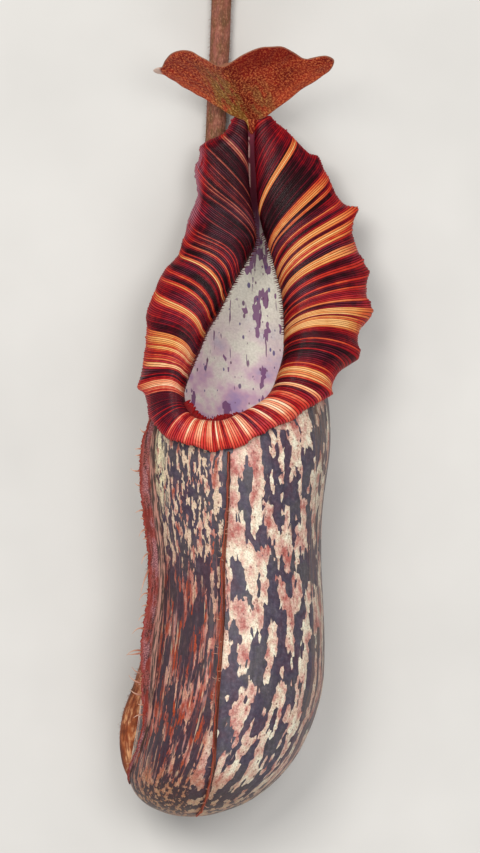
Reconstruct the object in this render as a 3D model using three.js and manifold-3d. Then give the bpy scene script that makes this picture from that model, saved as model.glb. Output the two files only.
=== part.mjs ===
// One pitcher of a tropical pitcher plant, cut with its tendril and laid on its back.
// Millimetres. +Z is up from the surface that it lies on, +Y runs from the pitcher's base towards the
// tendril's cut end, and the origin is the middle of the flat spot on the pitcher's back.
import * as THREE from "three";
import { LoftGeometry } from "three/addons/geometries/LoftGeometry.js";
import { mergeVertices } from "three/addons/utils/BufferGeometryUtils.js";
import Module from "manifold-3d";

const wasm = await Module();
wasm.setup();

const WALL = 1.6; // thickness of the pitcher's wall
const UP = new THREE.Vector3(0, 0, 1);

// The pitcher's body from its lowest point to just under the mouth, as oval sections across Y:
// [y, middle x, half width, middle z, half depth].
const BODY = [
  [-42.2, -13.5, 0, 25, 0],
  [-41.2, -13.4, 7, 25, 7],
  [-37.8, -12.9, 14.5, 25.2, 13.5],
  [-32, -11.3, 20.2, 25.6, 19.2],
  [-24.5, -7.4, 23.8, 26.3, 23.4],
  [-15, -3.6, 26, 27, 26.6],
  [-4, -1.2, 26.9, 27.4, 28.2],
  [8, 0.2, 26.3, 27.6, 28],
  [22, 0.9, 25.2, 27.8, 27],
  [36, 0.7, 24.8, 28, 26.8],
  [50, 0.2, 25.7, 28, 27.6],
  [62, 0.4, 27, 28, 28.5],
];

// The collar (peristome) round the mouth, from the neck's top down the left side, round the front lip
// and up the right side: [inner edge x, y, z, outer edge x, y, z, height of the roll between them,
// bearing in degrees of the wall below: 0 faces up, -90 left, 90 right, 180 the surface].
const COLLAR = [
  [3.4, 166.2, 10.5, -0.3, 168.2, 11, 1.5, -186],
  [3.2, 161, 10.5, -3.9, 164.6, 13, 3, -184],
  [3.2, 154.5, 10.5, -9.2, 161.2, 15, 4, -181],
  [3.4, 147, 10.5, -11.6, 155.2, 16, 5, -177],
  [4, 141, 11, -12, 147, 17, 5.5, -172],
  [5, 135.5, 11.5, -13, 140, 18, 6, -165],
  [5.5, 130, 13, -15, 132, 20.5, 6.5, -156],
  [3.5, 125.5, 15.5, -18, 126, 23, 6.5, -145],
  [0.5, 120.5, 19, -21.5, 121, 25.5, 6.5, -132],
  [-2.5, 115, 23, -24.5, 115, 28, 6.5, -119],
  [-5.5, 109, 27, -26.5, 108, 30.5, 6.5, -106],
  [-8.5, 104, 31, -27.5, 101, 33, 6, -93],
  [-11, 98, 35, -27.5, 94, 36, 5.5, -80],
  [-13.5, 92, 39, -28, 86.5, 39, 5, -67],
  [-15.5, 85.5, 43.5, -26.5, 80.5, 44, 4.5, -54],
  [-14.5, 80, 48, -23, 75, 51, 4.5, -42],
  [-11.5, 77, 51, -16.5, 71, 57, 4.5, -31],
  [-7, 76, 52, -8.5, 69.8, 59, 4.5, -20],
  [-3, 77, 51.5, -0.5, 70, 59, 4.5, -9],
  [1.5, 79, 49.5, 8, 74, 57, 4.5, 4],
  [6, 82, 46.5, 17, 79, 51, 5, 20],
  [9.5, 86.5, 42.5, 26, 83.5, 42.5, 5.5, 36],
  [11.5, 91, 38.5, 31, 89.5, 36.5, 6.5, 52],
  [13.5, 97, 34.5, 35, 96, 32, 7.5, 66],
  [14.5, 103, 30.5, 37, 104, 28, 8, 78],
  [14.5, 108.5, 26, 38.5, 112, 25.5, 8, 88],
  [14, 114.5, 22, 38, 120.5, 23, 8, 98],
  [12.5, 120.5, 18.5, 36, 129.5, 20, 7.5, 108],
  [11, 126.5, 15.5, 33.5, 137, 18, 7, 120],
  [9.5, 131, 13, 31, 144.2, 16, 6.5, 131],
  [8, 136.5, 12, 27.4, 151.6, 14.5, 6, 141],
  [7, 143, 11, 22.8, 157.6, 13.5, 5, 149],
  [6.6, 149.5, 10.5, 18, 162.8, 12.5, 4, 156],
  [6, 158, 10.5, 14, 166.4, 12, 3, 162],
  [6, 166.2, 10.5, 10.2, 168.4, 11.5, 1.5, 166],
];
// The collar's section from its inner edge to its curled outer edge: [share of its width, of its roll].
const ROLL = [
  [0.02, -0.25],
  [0, 0.2],
  [0.06, 0.62],
  [0.2, 0.92],
  [0.38, 1],
  [0.58, 0.88],
  [0.78, 0.6],
  [0.93, 0.22],
  [1, -0.12],
  [0.96, -0.4],
];
// Pointed lobes of the collar's outer edge: [place along COLLAR, reach in mm].
const LOBES = [
  [2.3, 1.5],
  [12.8, 1.8],
  [21.3, 2.2],
  [23.3, 2.4],
  [25.1, 2.6],
  [26.6, 2.8],
  [28.4, 3],
];
const LOBE_WIDTH = 0.32; // how far a lobe's flank runs, in rows of COLLAR
const MOUTH_FACES = new THREE.Vector3(-0.15, 0.5, 0.85).normalize();
const RIBS = 100; // fewer and bolder than on the real collar
const RIB_HEIGHT = 0.55;
const TOOTH = 1.3; // reach of the teeth on the inner edge
const TEETH_FROM = [0.13, 0.2]; // where along the collar, from either end, the teeth grow to full size
const COLLAR_THICK = [0.93, 1.5]; // at its edges and in its middle
const WALL_EDGE = [0.3, 0.05]; // the wall's outer and inner face on the collar: 0 is its inner edge
const WALL_COLUMNS = 58;
const WALL_SEAT = 1.2; // how far below the collar's lower face the wall's edge stops
const SHOULDER = 0.16; // how fast the body still widens sideways as it comes up to the mouth
const LEAN = [2, 5]; // how late the wall swings in to the collar: round the mouth, and at the neck
const NECK_BEARING = [120, 165]; // the neck's columns start between these bearings
const NECK_DEEP = 2.2; // how far the neck's back stands behind the wall's edges

// Smooth curve through rows of numbers: t runs from 0 at the first row to 1 at the last.
function smooth(rows, t) {
  const last = rows.length - 1;
  const place = THREE.MathUtils.clamp(t, 0, 1) * last;
  const i = Math.min(Math.floor(place), last - 1);
  const f = place - i;
  const before = rows[i - 1] ?? rows[0].map((v, k) => 2 * v - rows[1][k]);
  const after = rows[i + 2] ?? rows[last].map((v, k) => 2 * v - rows[last - 1][k]);
  return rows[i].map((v, k) => {
    const next = rows[i + 1][k];
    const slopeIn = (next - before[k]) / 2;
    const slopeOut = (after[k] - v) / 2;
    return (
      v +
      f * slopeIn +
      f * f * (3 * (next - v) - 2 * slopeIn - slopeOut) +
      f * f * f * (slopeIn + slopeOut - 2 * (next - v))
    );
  });
}

// Repeatable random numbers from 0 to 1.
function seeded(seed) {
  let state = seed;
  return () => {
    state = (state * 1664525 + 1013904223) % 4294967296;
    return state / 4294967296;
  };
}

// Positive where the rings run anticlockwise seen from the last ring back to the first.
function ringTurn(rings) {
  const i = Math.floor(rings.length / 2);
  const ring = rings[i];
  const facing = new THREE.Vector3();
  ring.forEach((p, k) => {
    facing.add(new THREE.Vector3().crossVectors(p, ring[(k + 1) % ring.length]));
  });
  return facing.dot(middleOf(rings[Math.min(i + 1, rings.length - 1)]).sub(middleOf(rings[i - 1])));
}

function middleOf(ring) {
  return ring.reduce((sum, p) => sum.add(p), new THREE.Vector3()).divideScalar(ring.length);
}

// Solid skinned over closed rings of points, as a manifold-3d solid with its faces out.
function skin(rings, caps = true) {
  const reversed = caps && ringTurn(rings) < 0;
  const sections = reversed ? rings.map((ring) => [...ring].reverse()) : rings;
  return solidOf(new LoftGeometry(sections, { capStart: caps, capEnd: caps }));
}

function solidOf(geometry) {
  const bare = new THREE.BufferGeometry();
  bare.setAttribute("position", geometry.attributes.position);
  bare.setIndex(geometry.index);
  const merged = mergeVertices(bare, 1e-3);
  const triVerts = new Uint32Array(merged.index.array);
  const vertProperties = merged.attributes.position.array;
  const make = () => new wasm.Manifold(new wasm.Mesh({ numProp: 3, vertProperties, triVerts }));
  const solid = make();
  if (solid.volume() > 0) return solid;
  for (let i = 0; i < triVerts.length; i += 3) {
    [triVerts[i + 1], triVerts[i + 2]] = [triVerts[i + 2], triVerts[i + 1]];
  }
  return make();
}

function geometryOf(solid) {
  const mesh = solid.getMesh();
  const positions = new Float32Array(mesh.numVert * 3);
  for (let i = 0; i < mesh.numVert; i++) {
    const start = i * mesh.numProp;
    positions.set(mesh.vertProperties.subarray(start, start + 3), i * 3);
  }
  const geometry = new THREE.BufferGeometry();
  geometry.setAttribute("position", new THREE.BufferAttribute(positions, 3));
  geometry.setIndex(new THREE.BufferAttribute(mesh.triVerts, 1));
  geometry.computeVertexNormals();
  return geometry;
}

const part = new THREE.Group();

function addNode(name, solid, color, roughness) {
  const material = new THREE.MeshStandardMaterial({ color, roughness, metalness: 0 });
  const mesh = new THREE.Mesh(geometryOf(solid), material);
  mesh.name = name;
  part.add(mesh);
}

// Nothing reaches below the surface that the pitcher lies on.
const lain = (p) => new THREE.Vector3(p.x, p.y, Math.max(p.z, 0));

// Round section of a stem or filament: a ring of points about the middle, across the direction.
function ringAcross(middle, direction, radius, sides) {
  const side = new THREE.Vector3().crossVectors(UP, direction);
  if (side.lengthSq() < 0.01) side.set(1, 0, 0);
  side.normalize();
  const other = new THREE.Vector3().crossVectors(direction, side).normalize();
  return Array.from({ length: sides }, (_, k) => {
    const a = (2 * Math.PI * k) / sides;
    return middle
      .clone()
      .addScaledVector(side, radius * Math.cos(a))
      .addScaledVector(other, radius * Math.sin(a));
  });
}

// Collar: its directions at u, from 0 at the neck's top left round the mouth to 1 at its top right.
function collarRow(u) {
  const [ix, iy, iz, ox, oy, oz, roll, bearing] = smooth(COLLAR, u);
  const inner = new THREE.Vector3(ix, iy, iz);
  const across = new THREE.Vector3(ox, oy, oz).sub(inner);
  const place = u * (COLLAR.length - 1);
  const lobe = LOBES.reduce(
    (sum, [at, reach]) => sum + reach * Math.exp(-Math.abs(place - at) / LOBE_WIDTH),
    0,
  );
  const width = across.length() + lobe;
  across.normalize();
  const lift = MOUTH_FACES.clone().addScaledVector(across, -MOUTH_FACES.dot(across)).normalize();
  return { inner, across, lift, width, roll, bearing };
}

// Collar: a point of its upper face, v from 0 at the inner edge to 1 at the curled outer edge.
function collarPoint(u, v) {
  const { inner, across, lift, width, roll } = collarRow(u);
  const [wide, high] = smooth(ROLL, v);
  return inner.clone().addScaledVector(across, wide * width).addScaledVector(lift, high * roll);
}

// Collar: the way that its upper face looks at u, v.
function collarNormal(u, v) {
  const step = 0.004;
  const [u0, u1] = [Math.max(u - step, 0), Math.min(u + step, 1)];
  const [v0, v1] = [Math.max(v - step, 0), Math.min(v + step, 1)];
  const along = collarPoint(u1, v).sub(collarPoint(u0, v));
  const across = collarPoint(u, v1).sub(collarPoint(u, v0));
  return across.cross(along).normalize();
}

// Collar: a point of its smooth lower face.
function collarUnder(u, v) {
  const thick = THREE.MathUtils.lerp(...COLLAR_THICK, Math.sin(Math.PI * v));
  return collarPoint(u, v).addScaledVector(collarNormal(u, v), -thick);
}

function makeCollar() {
  const upper = [0, 0.11, 0.23, 0.36, 0.5, 0.64, 0.78, 0.9, 1];
  const lower = [0.95, 0.62, ...WALL_EDGE];
  const rings = [];
  for (let k = 0; k <= 2 * RIBS; k++) {
    const u = k / (2 * RIBS);
    const crest = k % 2 === 1;
    const atMouth = THREE.MathUtils.smoothstep(Math.min(u, 1 - u), ...TEETH_FROM);
    const tooth = collarRow(u).across.multiplyScalar(crest ? -TOOTH * atMouth : 0);
    const rib = crest ? RIB_HEIGHT / 2 : -RIB_HEIGHT / 2;
    const top = upper.map((v) => collarPoint(u, v).addScaledVector(collarNormal(u, v), rib));
    const under = lower.map((v) => collarUnder(u, v));
    top[0].add(tooth);
    under[under.length - 1].add(tooth);
    rings.push([...top, ...under]);
  }
  return skin(rings);
}

// Wall: a point at column u, inset from its outer face. s runs from 0 at the base to 1 under the mouth
// and 2 at the collar, where the wall's edge lies along the collar's lower face.
function wallPoint(u, s, inset = 0) {
  const { bearing } = collarRow(u);
  const place = Math.min(s, 1);
  const [y, midX, halfX, midZ, halfZ] = smooth(BODY, place);
  const ahead = smooth(BODY, place + 0.01);
  const behind = smooth(BODY, place - 0.01);
  const slope = Math.atan2(ahead[2] - behind[2], ahead[0] - behind[0]);
  const inward = inset * Math.cos(slope);
  const a = THREE.MathUtils.degToRad(bearing);
  const point = new THREE.Vector3(
    midX + Math.max(halfX - inward, 0) * Math.sin(a),
    y + inset * Math.sin(slope),
    midZ + Math.max(halfZ - inward, 0) * Math.cos(a),
  );
  if (s <= 1) return point;
  const seat = collarUnder(u, THREE.MathUtils.lerp(...WALL_EDGE, inset / WALL));
  seat.addScaledVector(collarRow(u).lift, -WALL_SEAT);
  const rise = s - 1;
  point.x += SHOULDER * (seat.y - point.y) * rise * (1 - rise) * Math.sin(a);
  const atNeck = THREE.MathUtils.smoothstep(Math.abs(bearing), ...NECK_BEARING);
  const lean = Math.pow(rise, THREE.MathUtils.lerp(...LEAN, atNeck));
  return new THREE.Vector3(
    THREE.MathUtils.lerp(point.x, seat.x, lean),
    THREE.MathUtils.lerp(point.y, seat.y, rise),
    THREE.MathUtils.lerp(point.z, seat.z, lean),
  );
}

// Wall: a ring of points at s, closed by one more column midway down the back of the neck.
function wallRing(s, inset = 0) {
  const ring = Array.from({ length: WALL_COLUMNS + 1 }, (_, k) =>
    wallPoint(k / WALL_COLUMNS, s, inset),
  );
  const back = ring[0].clone().lerp(ring[WALL_COLUMNS], 0.5);
  back.z -= NECK_DEEP * (1 - inset / WALL) * Math.pow(Math.max(s - 1, 0), 4);
  return [...ring, back];
}

const BODY_STEPS = [
  0, 0.03, 0.07, 0.13, 0.2, 0.28, 0.37, 0.46, 0.55, 0.64, 0.73, 0.82, 0.91, 1,
];

function makeCup() {
  const outer = [...BODY_STEPS, 1.15, 1.3, 1.45, 1.6, 1.73, 1.84, 1.93, 2];
  const inner = [0, 0.07, 0.17, 0.3, 0.45, 0.6, 0.75, 0.88, 1, 1.2, 1.4, 1.57, 1.71, 1.83, 1.93, 2];
  const rings = [
    ...outer.map((s) => wallRing(s).map(lain)),
    ...inner.reverse().map((s) => wallRing(s, WALL)),
  ];
  return skin(rings, false).add(makeSpur());
}

// Spur: the small pointed outgrowth behind the lid's base, rooted in the back of the neck.
const SPUR_LENGTH = 7.5;
const SPUR_RADIUS = [1.2, 0.35]; // at its root and at its tip
const SPUR_HEADING = new THREE.Vector3(0.1, 0.78, -0.62).normalize();
const SPUR_ROOT = { s: 1.96, deep: 0.9 }; // its place on the neck, and how far inside the wall it starts

function makeSpur() {
  const root = wallRing(SPUR_ROOT.s)[WALL_COLUMNS + 1].addScaledVector(UP, SPUR_ROOT.deep);
  const rings = [0, 0.35, 0.7, 1].map((t) => {
    const middle = root.clone().addScaledVector(SPUR_HEADING, SPUR_LENGTH * t);
    return ringAcross(middle, SPUR_HEADING, THREE.MathUtils.lerp(...SPUR_RADIUS, t), 6);
  });
  return skin(rings);
}

// Wings: [s on the wall, bearing in degrees, height] from the base up to under the collar.
const WING_LEFT = [
  [0.27, -90, 0.6],
  [0.33, -79, 1.1],
  [0.39, -68, 1.6],
  [0.47, -62, 3],
  [0.56, -63, 4.4],
  [0.66, -68, 4.9],
  [0.77, -66, 4.7],
  [0.87, -67, 4.8],
  [0.96, -68, 4.8],
  [1.15, -66.5, 4.4],
  [1.6, -66, 2.2],
];
const WING_FRONT = [
  [0.1, 12, 0.8],
  [0.21, 9, 2],
  [0.33, 3, 3],
  [0.45, -6.5, 3.6],
  [0.57, -12.5, 3.7],
  [0.69, -12, 3.6],
  [0.81, -10.3, 3.4],
  [0.92, -6, 3],
  [1.1, -5.4, 2.4],
  [1.4, -5.4, 1],
];
const WING_STATIONS = 30;
const WING_HALF = [0.9, 0.4]; // half its thickness at the root and at the edge
const WING_SEAM = 0.45; // clearance between its root and the wall
const FRINGE_LEFT = { seed: 7, count: 24, first: 0.36, length: 3, low: 1.7 };
const FRINGE_FRONT = { seed: 23, count: 16, first: 0.4, length: 1.8, low: 1.2 };
const FILAMENT = [
  [0, 0.5],
  [0.5, 0.4],
  [1, 0.2],
]; // share of a filament's length, radius
const FILAMENT_ROOT = 0.9; // how deep in the wing it starts

// Wing: the place on the collar's rows whose wall has this bearing.
function columnAt(bearing) {
  let [low, high] = [0, 1];
  for (let n = 0; n < 30; n++) {
    const mid = (low + high) / 2;
    if (collarRow(mid).bearing < bearing) low = mid;
    else high = mid;
  }
  return low;
}

// Wing: its root on the wall, the way out from the wall and the way round it, at t from base to top.
function wingFrame(wing, t) {
  const [s, bearing, height] = smooth(wing, t);
  const root = wallPoint(columnAt(bearing), s);
  const a = THREE.MathUtils.degToRad(bearing);
  const [, , halfX, , halfZ] = smooth(BODY, Math.min(s, 1));
  const out = new THREE.Vector3(Math.sin(a) * halfZ, 0, Math.cos(a) * halfX);
  const step = 0.01;
  const [ahead] = smooth(wing, Math.min(t + step, 1));
  const [behind] = smooth(wing, Math.max(t - step, 0));
  const run = wallPoint(columnAt(bearing), ahead).sub(wallPoint(columnAt(bearing), behind));
  run.normalize();
  out.addScaledVector(run, -out.dot(run)).normalize();
  const round = new THREE.Vector3().crossVectors(run, out).normalize();
  return { root, out, round, run, height };
}

// Wing with its fringe: count filaments from t = first to the top, the lowest up to low times as long.
function makeWing(wing, { seed, count, first, length, low }) {
  const random = seeded(seed);
  const rings = [];
  for (let k = 0; k <= WING_STATIONS; k++) {
    const { root, out, round, height } = wingFrame(wing, k / WING_STATIONS);
    const corner = (side, rise) =>
      root.clone().addScaledVector(round, side).addScaledVector(out, rise);
    rings.push([
      corner(WING_HALF[0], WING_SEAM),
      corner(WING_HALF[1], height),
      corner(-WING_HALF[1], height),
      corner(-WING_HALF[0], WING_SEAM),
    ]);
  }
  let solid = skin(rings);
  for (let n = 0; n < count; n++) {
    const place = (n + 0.3 + 0.4 * random()) / count;
    const { root, out, round, run, height } = wingFrame(wing, first + (0.98 - first) * place);
    const reach = length * (0.75 + 0.5 * random()) * THREE.MathUtils.lerp(low, 1, place);
    const heading = out.clone().addScaledVector(round, 0.7 * (random() - 0.5)).normalize();
    const bend = 0.6 * reach * (random() - 0.45);
    const sections = FILAMENT.map(([along, radius]) => {
      const middle = root
        .clone()
        .addScaledVector(out, height - FILAMENT_ROOT)
        .addScaledVector(heading, (reach + FILAMENT_ROOT) * along)
        .addScaledVector(run, bend * along * along);
      return ringAcross(middle, heading, radius, 3);
    });
    solid = solid.add(skin(sections));
  }
  return solid;
}

// Lid: its outline in its own plane, [to the right of the midrib, forward of the stalk].
const LID_OUTLINE = [
  [1.5, 0],
  [6, 2.6],
  [16.8, 10],
  [26.4, 18],
  [30.6, 26.6],
  [28.4, 30.4],
  [24.4, 30.6],
  [21, 34],
  [16.6, 38.2],
  [11.4, 38.8],
  [6, 37.8],
  [1.5, 36.8],
  [-1.6, 36],
  [-6, 35.6],
  [-10.4, 37],
  [-14.8, 36.6],
  [-18.8, 32.6],
  [-22.6, 26.6],
  [-25.6, 23.4],
  [-22.6, 19.2],
  [-11.6, 10.4],
  [-4.2, 2.4],
  [-1.5, 0],
];
const LID_BASE = new THREE.Vector3(4.4, 168.2, 12);
const LID_TURN = THREE.MathUtils.degToRad(13); // towards the left, as the whole mouth faces
const LID_TILT = THREE.MathUtils.degToRad(22);
const LID_FOLD = 6.5; // how far its two halves rise from the midrib
const LID_FLANK = 9; // how far from the midrib most of that rise is reached
const LID_CUP = 6; // how far from its base the fold is half open
const LID_THICK = 1.3;
const LID_KEEL = 0.9; // how far the midrib stands out on its upper face
const LID_MIDDLE = [0, 20];
const LID_AROUND = 46;
const LID_STALK = [
  [4.7, 168.6, 8, 1.5],
  [4.6, 168.9, 10.6, 1.5],
  [4.1, 170.2, 13.6, 1.2],
]; // x, y, z, radius, up from the neck's top to the lid's base

// Lid: a point of its middle surface over a place in its own plane.
function lidPoint(p, q) {
  const reach = Math.max(q, 0) / (Math.max(q, 0) + LID_CUP);
  const fold = LID_FOLD * reach * (1 - Math.exp(-Math.pow(Math.abs(p) / LID_FLANK, 1.6)));
  const forward = q * Math.cos(LID_TILT) - fold * Math.sin(LID_TILT);
  const rise = q * Math.sin(LID_TILT) + fold * Math.cos(LID_TILT);
  return new THREE.Vector3(
    LID_BASE.x + p * Math.cos(LID_TURN) - forward * Math.sin(LID_TURN),
    LID_BASE.y + rise,
    LID_BASE.z + p * Math.sin(LID_TURN) + forward * Math.cos(LID_TURN),
  );
}

function lidNormal(p, q) {
  const e = 0.2;
  const along = lidPoint(p, q + e).sub(lidPoint(p, q - e));
  const across = lidPoint(p + e, q).sub(lidPoint(p - e, q));
  return along.cross(across).normalize();
}

function makeLid() {
  const closed = [...LID_OUTLINE, LID_OUTLINE[0]];
  const edge = Array.from({ length: LID_AROUND }, (_, k) => smooth(closed, k / LID_AROUND));
  const ringAt = (share, side) =>
    edge.map(([p, q]) => {
      const p1 = THREE.MathUtils.lerp(LID_MIDDLE[0], p, share);
      const q1 = THREE.MathUtils.lerp(LID_MIDDLE[1], q, share);
      const keel = side > 0 ? LID_KEEL * Math.exp(-(p1 * p1) / 2) : 0;
      return lidPoint(p1, q1).addScaledVector(lidNormal(p1, q1), side * (LID_THICK / 2 + keel));
    });
  const shares = [0, 0.18, 0.36, 0.54, 0.72, 0.87, 1];
  const front = shares.map((share) => ringAt(share, -1));
  const rear = [...shares].reverse().map((share) => ringAt(share, 1));
  const stalk = LID_STALK.map(([x, y, z, radius]) =>
    ringAcross(new THREE.Vector3(x, y, z), UP, radius, 8),
  );
  return skin([...front, ...rear], false).add(skin(stalk));
}

// Tendril: its centreline from the cut end down behind the pitcher and up into its base:
// [x, y, z, radius].
const TENDRIL = [
  [-3.6, 214, 3, 3.1],
  [-4.1, 200, 2.9, 3],
  [-4.8, 186, 2.9, 3],
  [-5.6, 170, 2.9, 3],
  [-6.7, 152, 2.9, 3],
  [-9, 134, 2.9, 3],
  [-12.4, 115, 2.9, 3],
  [-17.2, 96, 2.9, 3],
  [-20.2, 76, 2.9, 3],
  [-22.4, 56, 2.9, 3],
  [-23.6, 38, 3, 3.1],
  [-24, 20, 4, 3.2],
  [-25, 6, 7, 3.5],
  [-27.4, -4, 11, 3.9],
  [-29.8, -13, 14.5, 4.5],
  [-30, -21, 17.5, 5.2],
  [-27.6, -27.5, 20, 5.9],
  [-22, -30.5, 22.5, 6.2],
];
const TENDRIL_STATIONS = 50;
const TENDRIL_SIDES = 12;
const TENDRIL_SEAM = 0.45; // clearance round the body where the tendril hugs it

function makeTendril() {
  const rings = [];
  for (let k = 0; k <= TENDRIL_STATIONS; k++) {
    const t = k / TENDRIL_STATIONS;
    const [x, y, z, radius] = smooth(TENDRIL, t);
    const ahead = smooth(TENDRIL, Math.min(t + 0.01, 1));
    const behind = smooth(TENDRIL, Math.max(t - 0.01, 0));
    const run = new THREE.Vector3(
      ahead[0] - behind[0],
      ahead[1] - behind[1],
      ahead[2] - behind[2],
    ).normalize();
    rings.push(ringAcross(new THREE.Vector3(x, y, z), run, radius, TENDRIL_SIDES).map(lain));
  }
  const room = BODY_STEPS.slice(1).map((s) => wallRing(s, -TENDRIL_SEAM));
  return skin(rings).subtract(skin(room));
}

addNode("tendril", makeTendril(), 0x8a5648, 0.75);
addNode("cup", makeCup(), 0x7a5f66, 0.55);
addNode("wing_left", makeWing(WING_LEFT, FRINGE_LEFT), 0x8e4338, 0.6);
addNode("wing_front", makeWing(WING_FRONT, FRINGE_FRONT), 0x9a4a34, 0.6);
addNode("peristome", makeCollar(), 0x9c2418, 0.25);
addNode("lid", makeLid(), 0xa8442a, 0.6);

export default part;
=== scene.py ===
import math

import bmesh
import bpy
import mathutils
import numpy as np
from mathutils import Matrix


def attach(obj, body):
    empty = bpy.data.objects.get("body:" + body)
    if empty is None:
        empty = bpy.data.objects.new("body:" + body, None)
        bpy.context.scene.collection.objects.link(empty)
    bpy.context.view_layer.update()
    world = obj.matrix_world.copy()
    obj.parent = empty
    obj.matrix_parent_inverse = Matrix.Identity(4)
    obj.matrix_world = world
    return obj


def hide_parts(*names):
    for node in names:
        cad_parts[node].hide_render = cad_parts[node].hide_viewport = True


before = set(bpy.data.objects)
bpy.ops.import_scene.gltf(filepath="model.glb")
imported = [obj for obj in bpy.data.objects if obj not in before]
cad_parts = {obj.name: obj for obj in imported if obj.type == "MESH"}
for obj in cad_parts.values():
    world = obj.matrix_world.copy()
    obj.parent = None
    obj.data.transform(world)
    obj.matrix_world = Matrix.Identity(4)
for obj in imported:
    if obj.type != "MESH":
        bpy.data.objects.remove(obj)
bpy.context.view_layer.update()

MM = 0.001


# The tendril is the stretched tip of the leaf, a tough round strand that carries the pitcher's weight.
# It grows in one with the base of the cup: it was cut well above the lid, runs down behind the
# pitcher and swings forward round its left side into the base. Short brown hairs cover it.
TENDRIL = MM * np.array([
    [-4.1, 214, 3, 3.1],
    [-4.6, 200, 2.9, 3],
    [-5.3, 186, 2.9, 3],
    [-6.1, 170, 2.9, 3],
    [-7.2, 152, 2.9, 3],
    [-9.3, 134, 2.9, 3],
    [-12.4, 115, 2.9, 3],
    [-17.2, 96, 2.9, 3],
    [-20.2, 76, 2.9, 3],
    [-22.4, 56, 2.9, 3],
    [-23.6, 38, 3, 3.1],
    [-24, 20, 4, 3.2],
    [-25, 6, 7, 3.5],
    [-27.4, -4, 11, 3.9],
    [-29.8, -13, 14.5, 4.5],
    [-30, -21, 17.5, 5.2],
    [-27.6, -27.5, 20, 5.9],
    [-22, -30.5, 22.5, 6.2],
])  # x, y, z and radius from the cut end to the base of the cup
TENDRIL_RINGS = 420
TENDRIL_SIDES = 64
TENDRIL_HAIRS = 2600
UP = np.array([0.0, 0.0, 1.0])


def smooth(rows, t):
    """Smooth curve through rows of numbers: t runs from 0 at the first row to 1 at the last."""
    rows = np.asarray(rows, float)
    last = len(rows) - 1
    padded = np.vstack([2 * rows[0] - rows[1], rows, 2 * rows[last] - rows[last - 1]])
    place = np.clip(np.asarray(t, float), 0, 1) * last
    i = np.minimum(place.astype(int), last - 1)
    f = (place - i)[..., None]
    before, start, end, after = (padded[i + k] for k in range(4))
    slope_in, slope_out = (end - before) / 2, (after - start) / 2
    bend = 3 * (end - start) - 2 * slope_in - slope_out
    return start + f * slope_in + f**2 * bend + f**3 * (slope_in + slope_out - 2 * (end - start))


def unit(vectors):
    return vectors / np.maximum(np.linalg.norm(vectors, axis=-1, keepdims=True), 1e-12)


def line_length(points):
    """Distance along a line of points, at each of them."""
    return np.concatenate([[0], np.cumsum(np.linalg.norm(np.diff(points, axis=0), axis=1))])


def ease(low, high, value):
    """0 up to low, 1 from high on, and a soft step between them."""
    f = np.clip((value - low) / (high - low), 0, 1)
    return f * f * (3 - 2 * f)


def weave(rows, columns, round_rows=False, round_columns=False):
    """Four-sided faces over a grid of points; a round direction closes on itself."""
    r, c = np.meshgrid(
        np.arange(rows if round_rows else rows - 1),
        np.arange(columns if round_columns else columns - 1),
        indexing="ij",
    )
    r2, c2 = (r + 1) % rows, (c + 1) % columns
    corners = [r * columns + c, r * columns + c2, r2 * columns + c2, r2 * columns + c]
    return np.stack(corners, -1).reshape(-1, 4).tolist()


def tube(rings, sides):
    """Faces of a tube with both of its ends closed."""
    ends = [list(range(sides))[::-1], [(rings - 1) * sides + k for k in range(sides)]]
    return weave(rings, sides, round_columns=True) + ends


def grow(name, points, faces, slot, skins, skin_of_face=None, **marks):
    """Closed mesh with its faces out and nothing under the table's top. Marks are numbers or vectors
    kept on its points for the paint to read."""
    mesh = bpy.data.meshes.new(name)
    points[..., 2] = np.maximum(points[..., 2], 0)
    mesh.from_pydata(points.reshape(-1, 3).tolist(), [], faces)
    for skin in skins:
        mesh.materials.append(skin)
    if skin_of_face is not None:
        mesh.polygons.foreach_set("material_index", skin_of_face)
    for mark, values in marks.items():
        vector = values.shape == points.shape
        layer = mesh.attributes.new(mark, "FLOAT_VECTOR" if vector else "FLOAT", "POINT")
        layer.data.foreach_set("vector" if vector else "value", values.astype(np.float32).ravel())
    shape = bmesh.new()
    shape.from_mesh(mesh)
    bmesh.ops.remove_doubles(shape, verts=shape.verts, dist=0.002 * MM)
    if shape.calc_volume(signed=True) < 0:
        bmesh.ops.reverse_faces(shape, faces=shape.faces)
    shape.to_mesh(mesh)
    shape.free()
    mesh.shade_smooth()
    grown = bpy.data.objects.new(name, mesh)
    bpy.context.scene.collection.objects.link(grown)
    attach(grown, "root")
    return grown


def turns(sides):
    """Angles once round a ring."""
    return 2 * np.pi * np.arange(sides) / sides


def spokes(side, other, sides):
    """Ways out from the middle of a ring, once round it from side through other."""
    a = turns(sides)[:, None]
    return np.cos(a) * side[..., None, :] + np.sin(a) * other[..., None, :]


def across_ring(middle, run, radius, sides, wobble=1.0):
    """Rings of points about a line of middles, across its run."""
    side = unit(np.cross(UP, run))
    other = unit(np.cross(run, side))
    reach = np.asarray(radius)[..., None, None] * np.ones((sides, 1)) * wobble
    return middle[..., None, :] + reach * spokes(side, other, sides)


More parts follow.
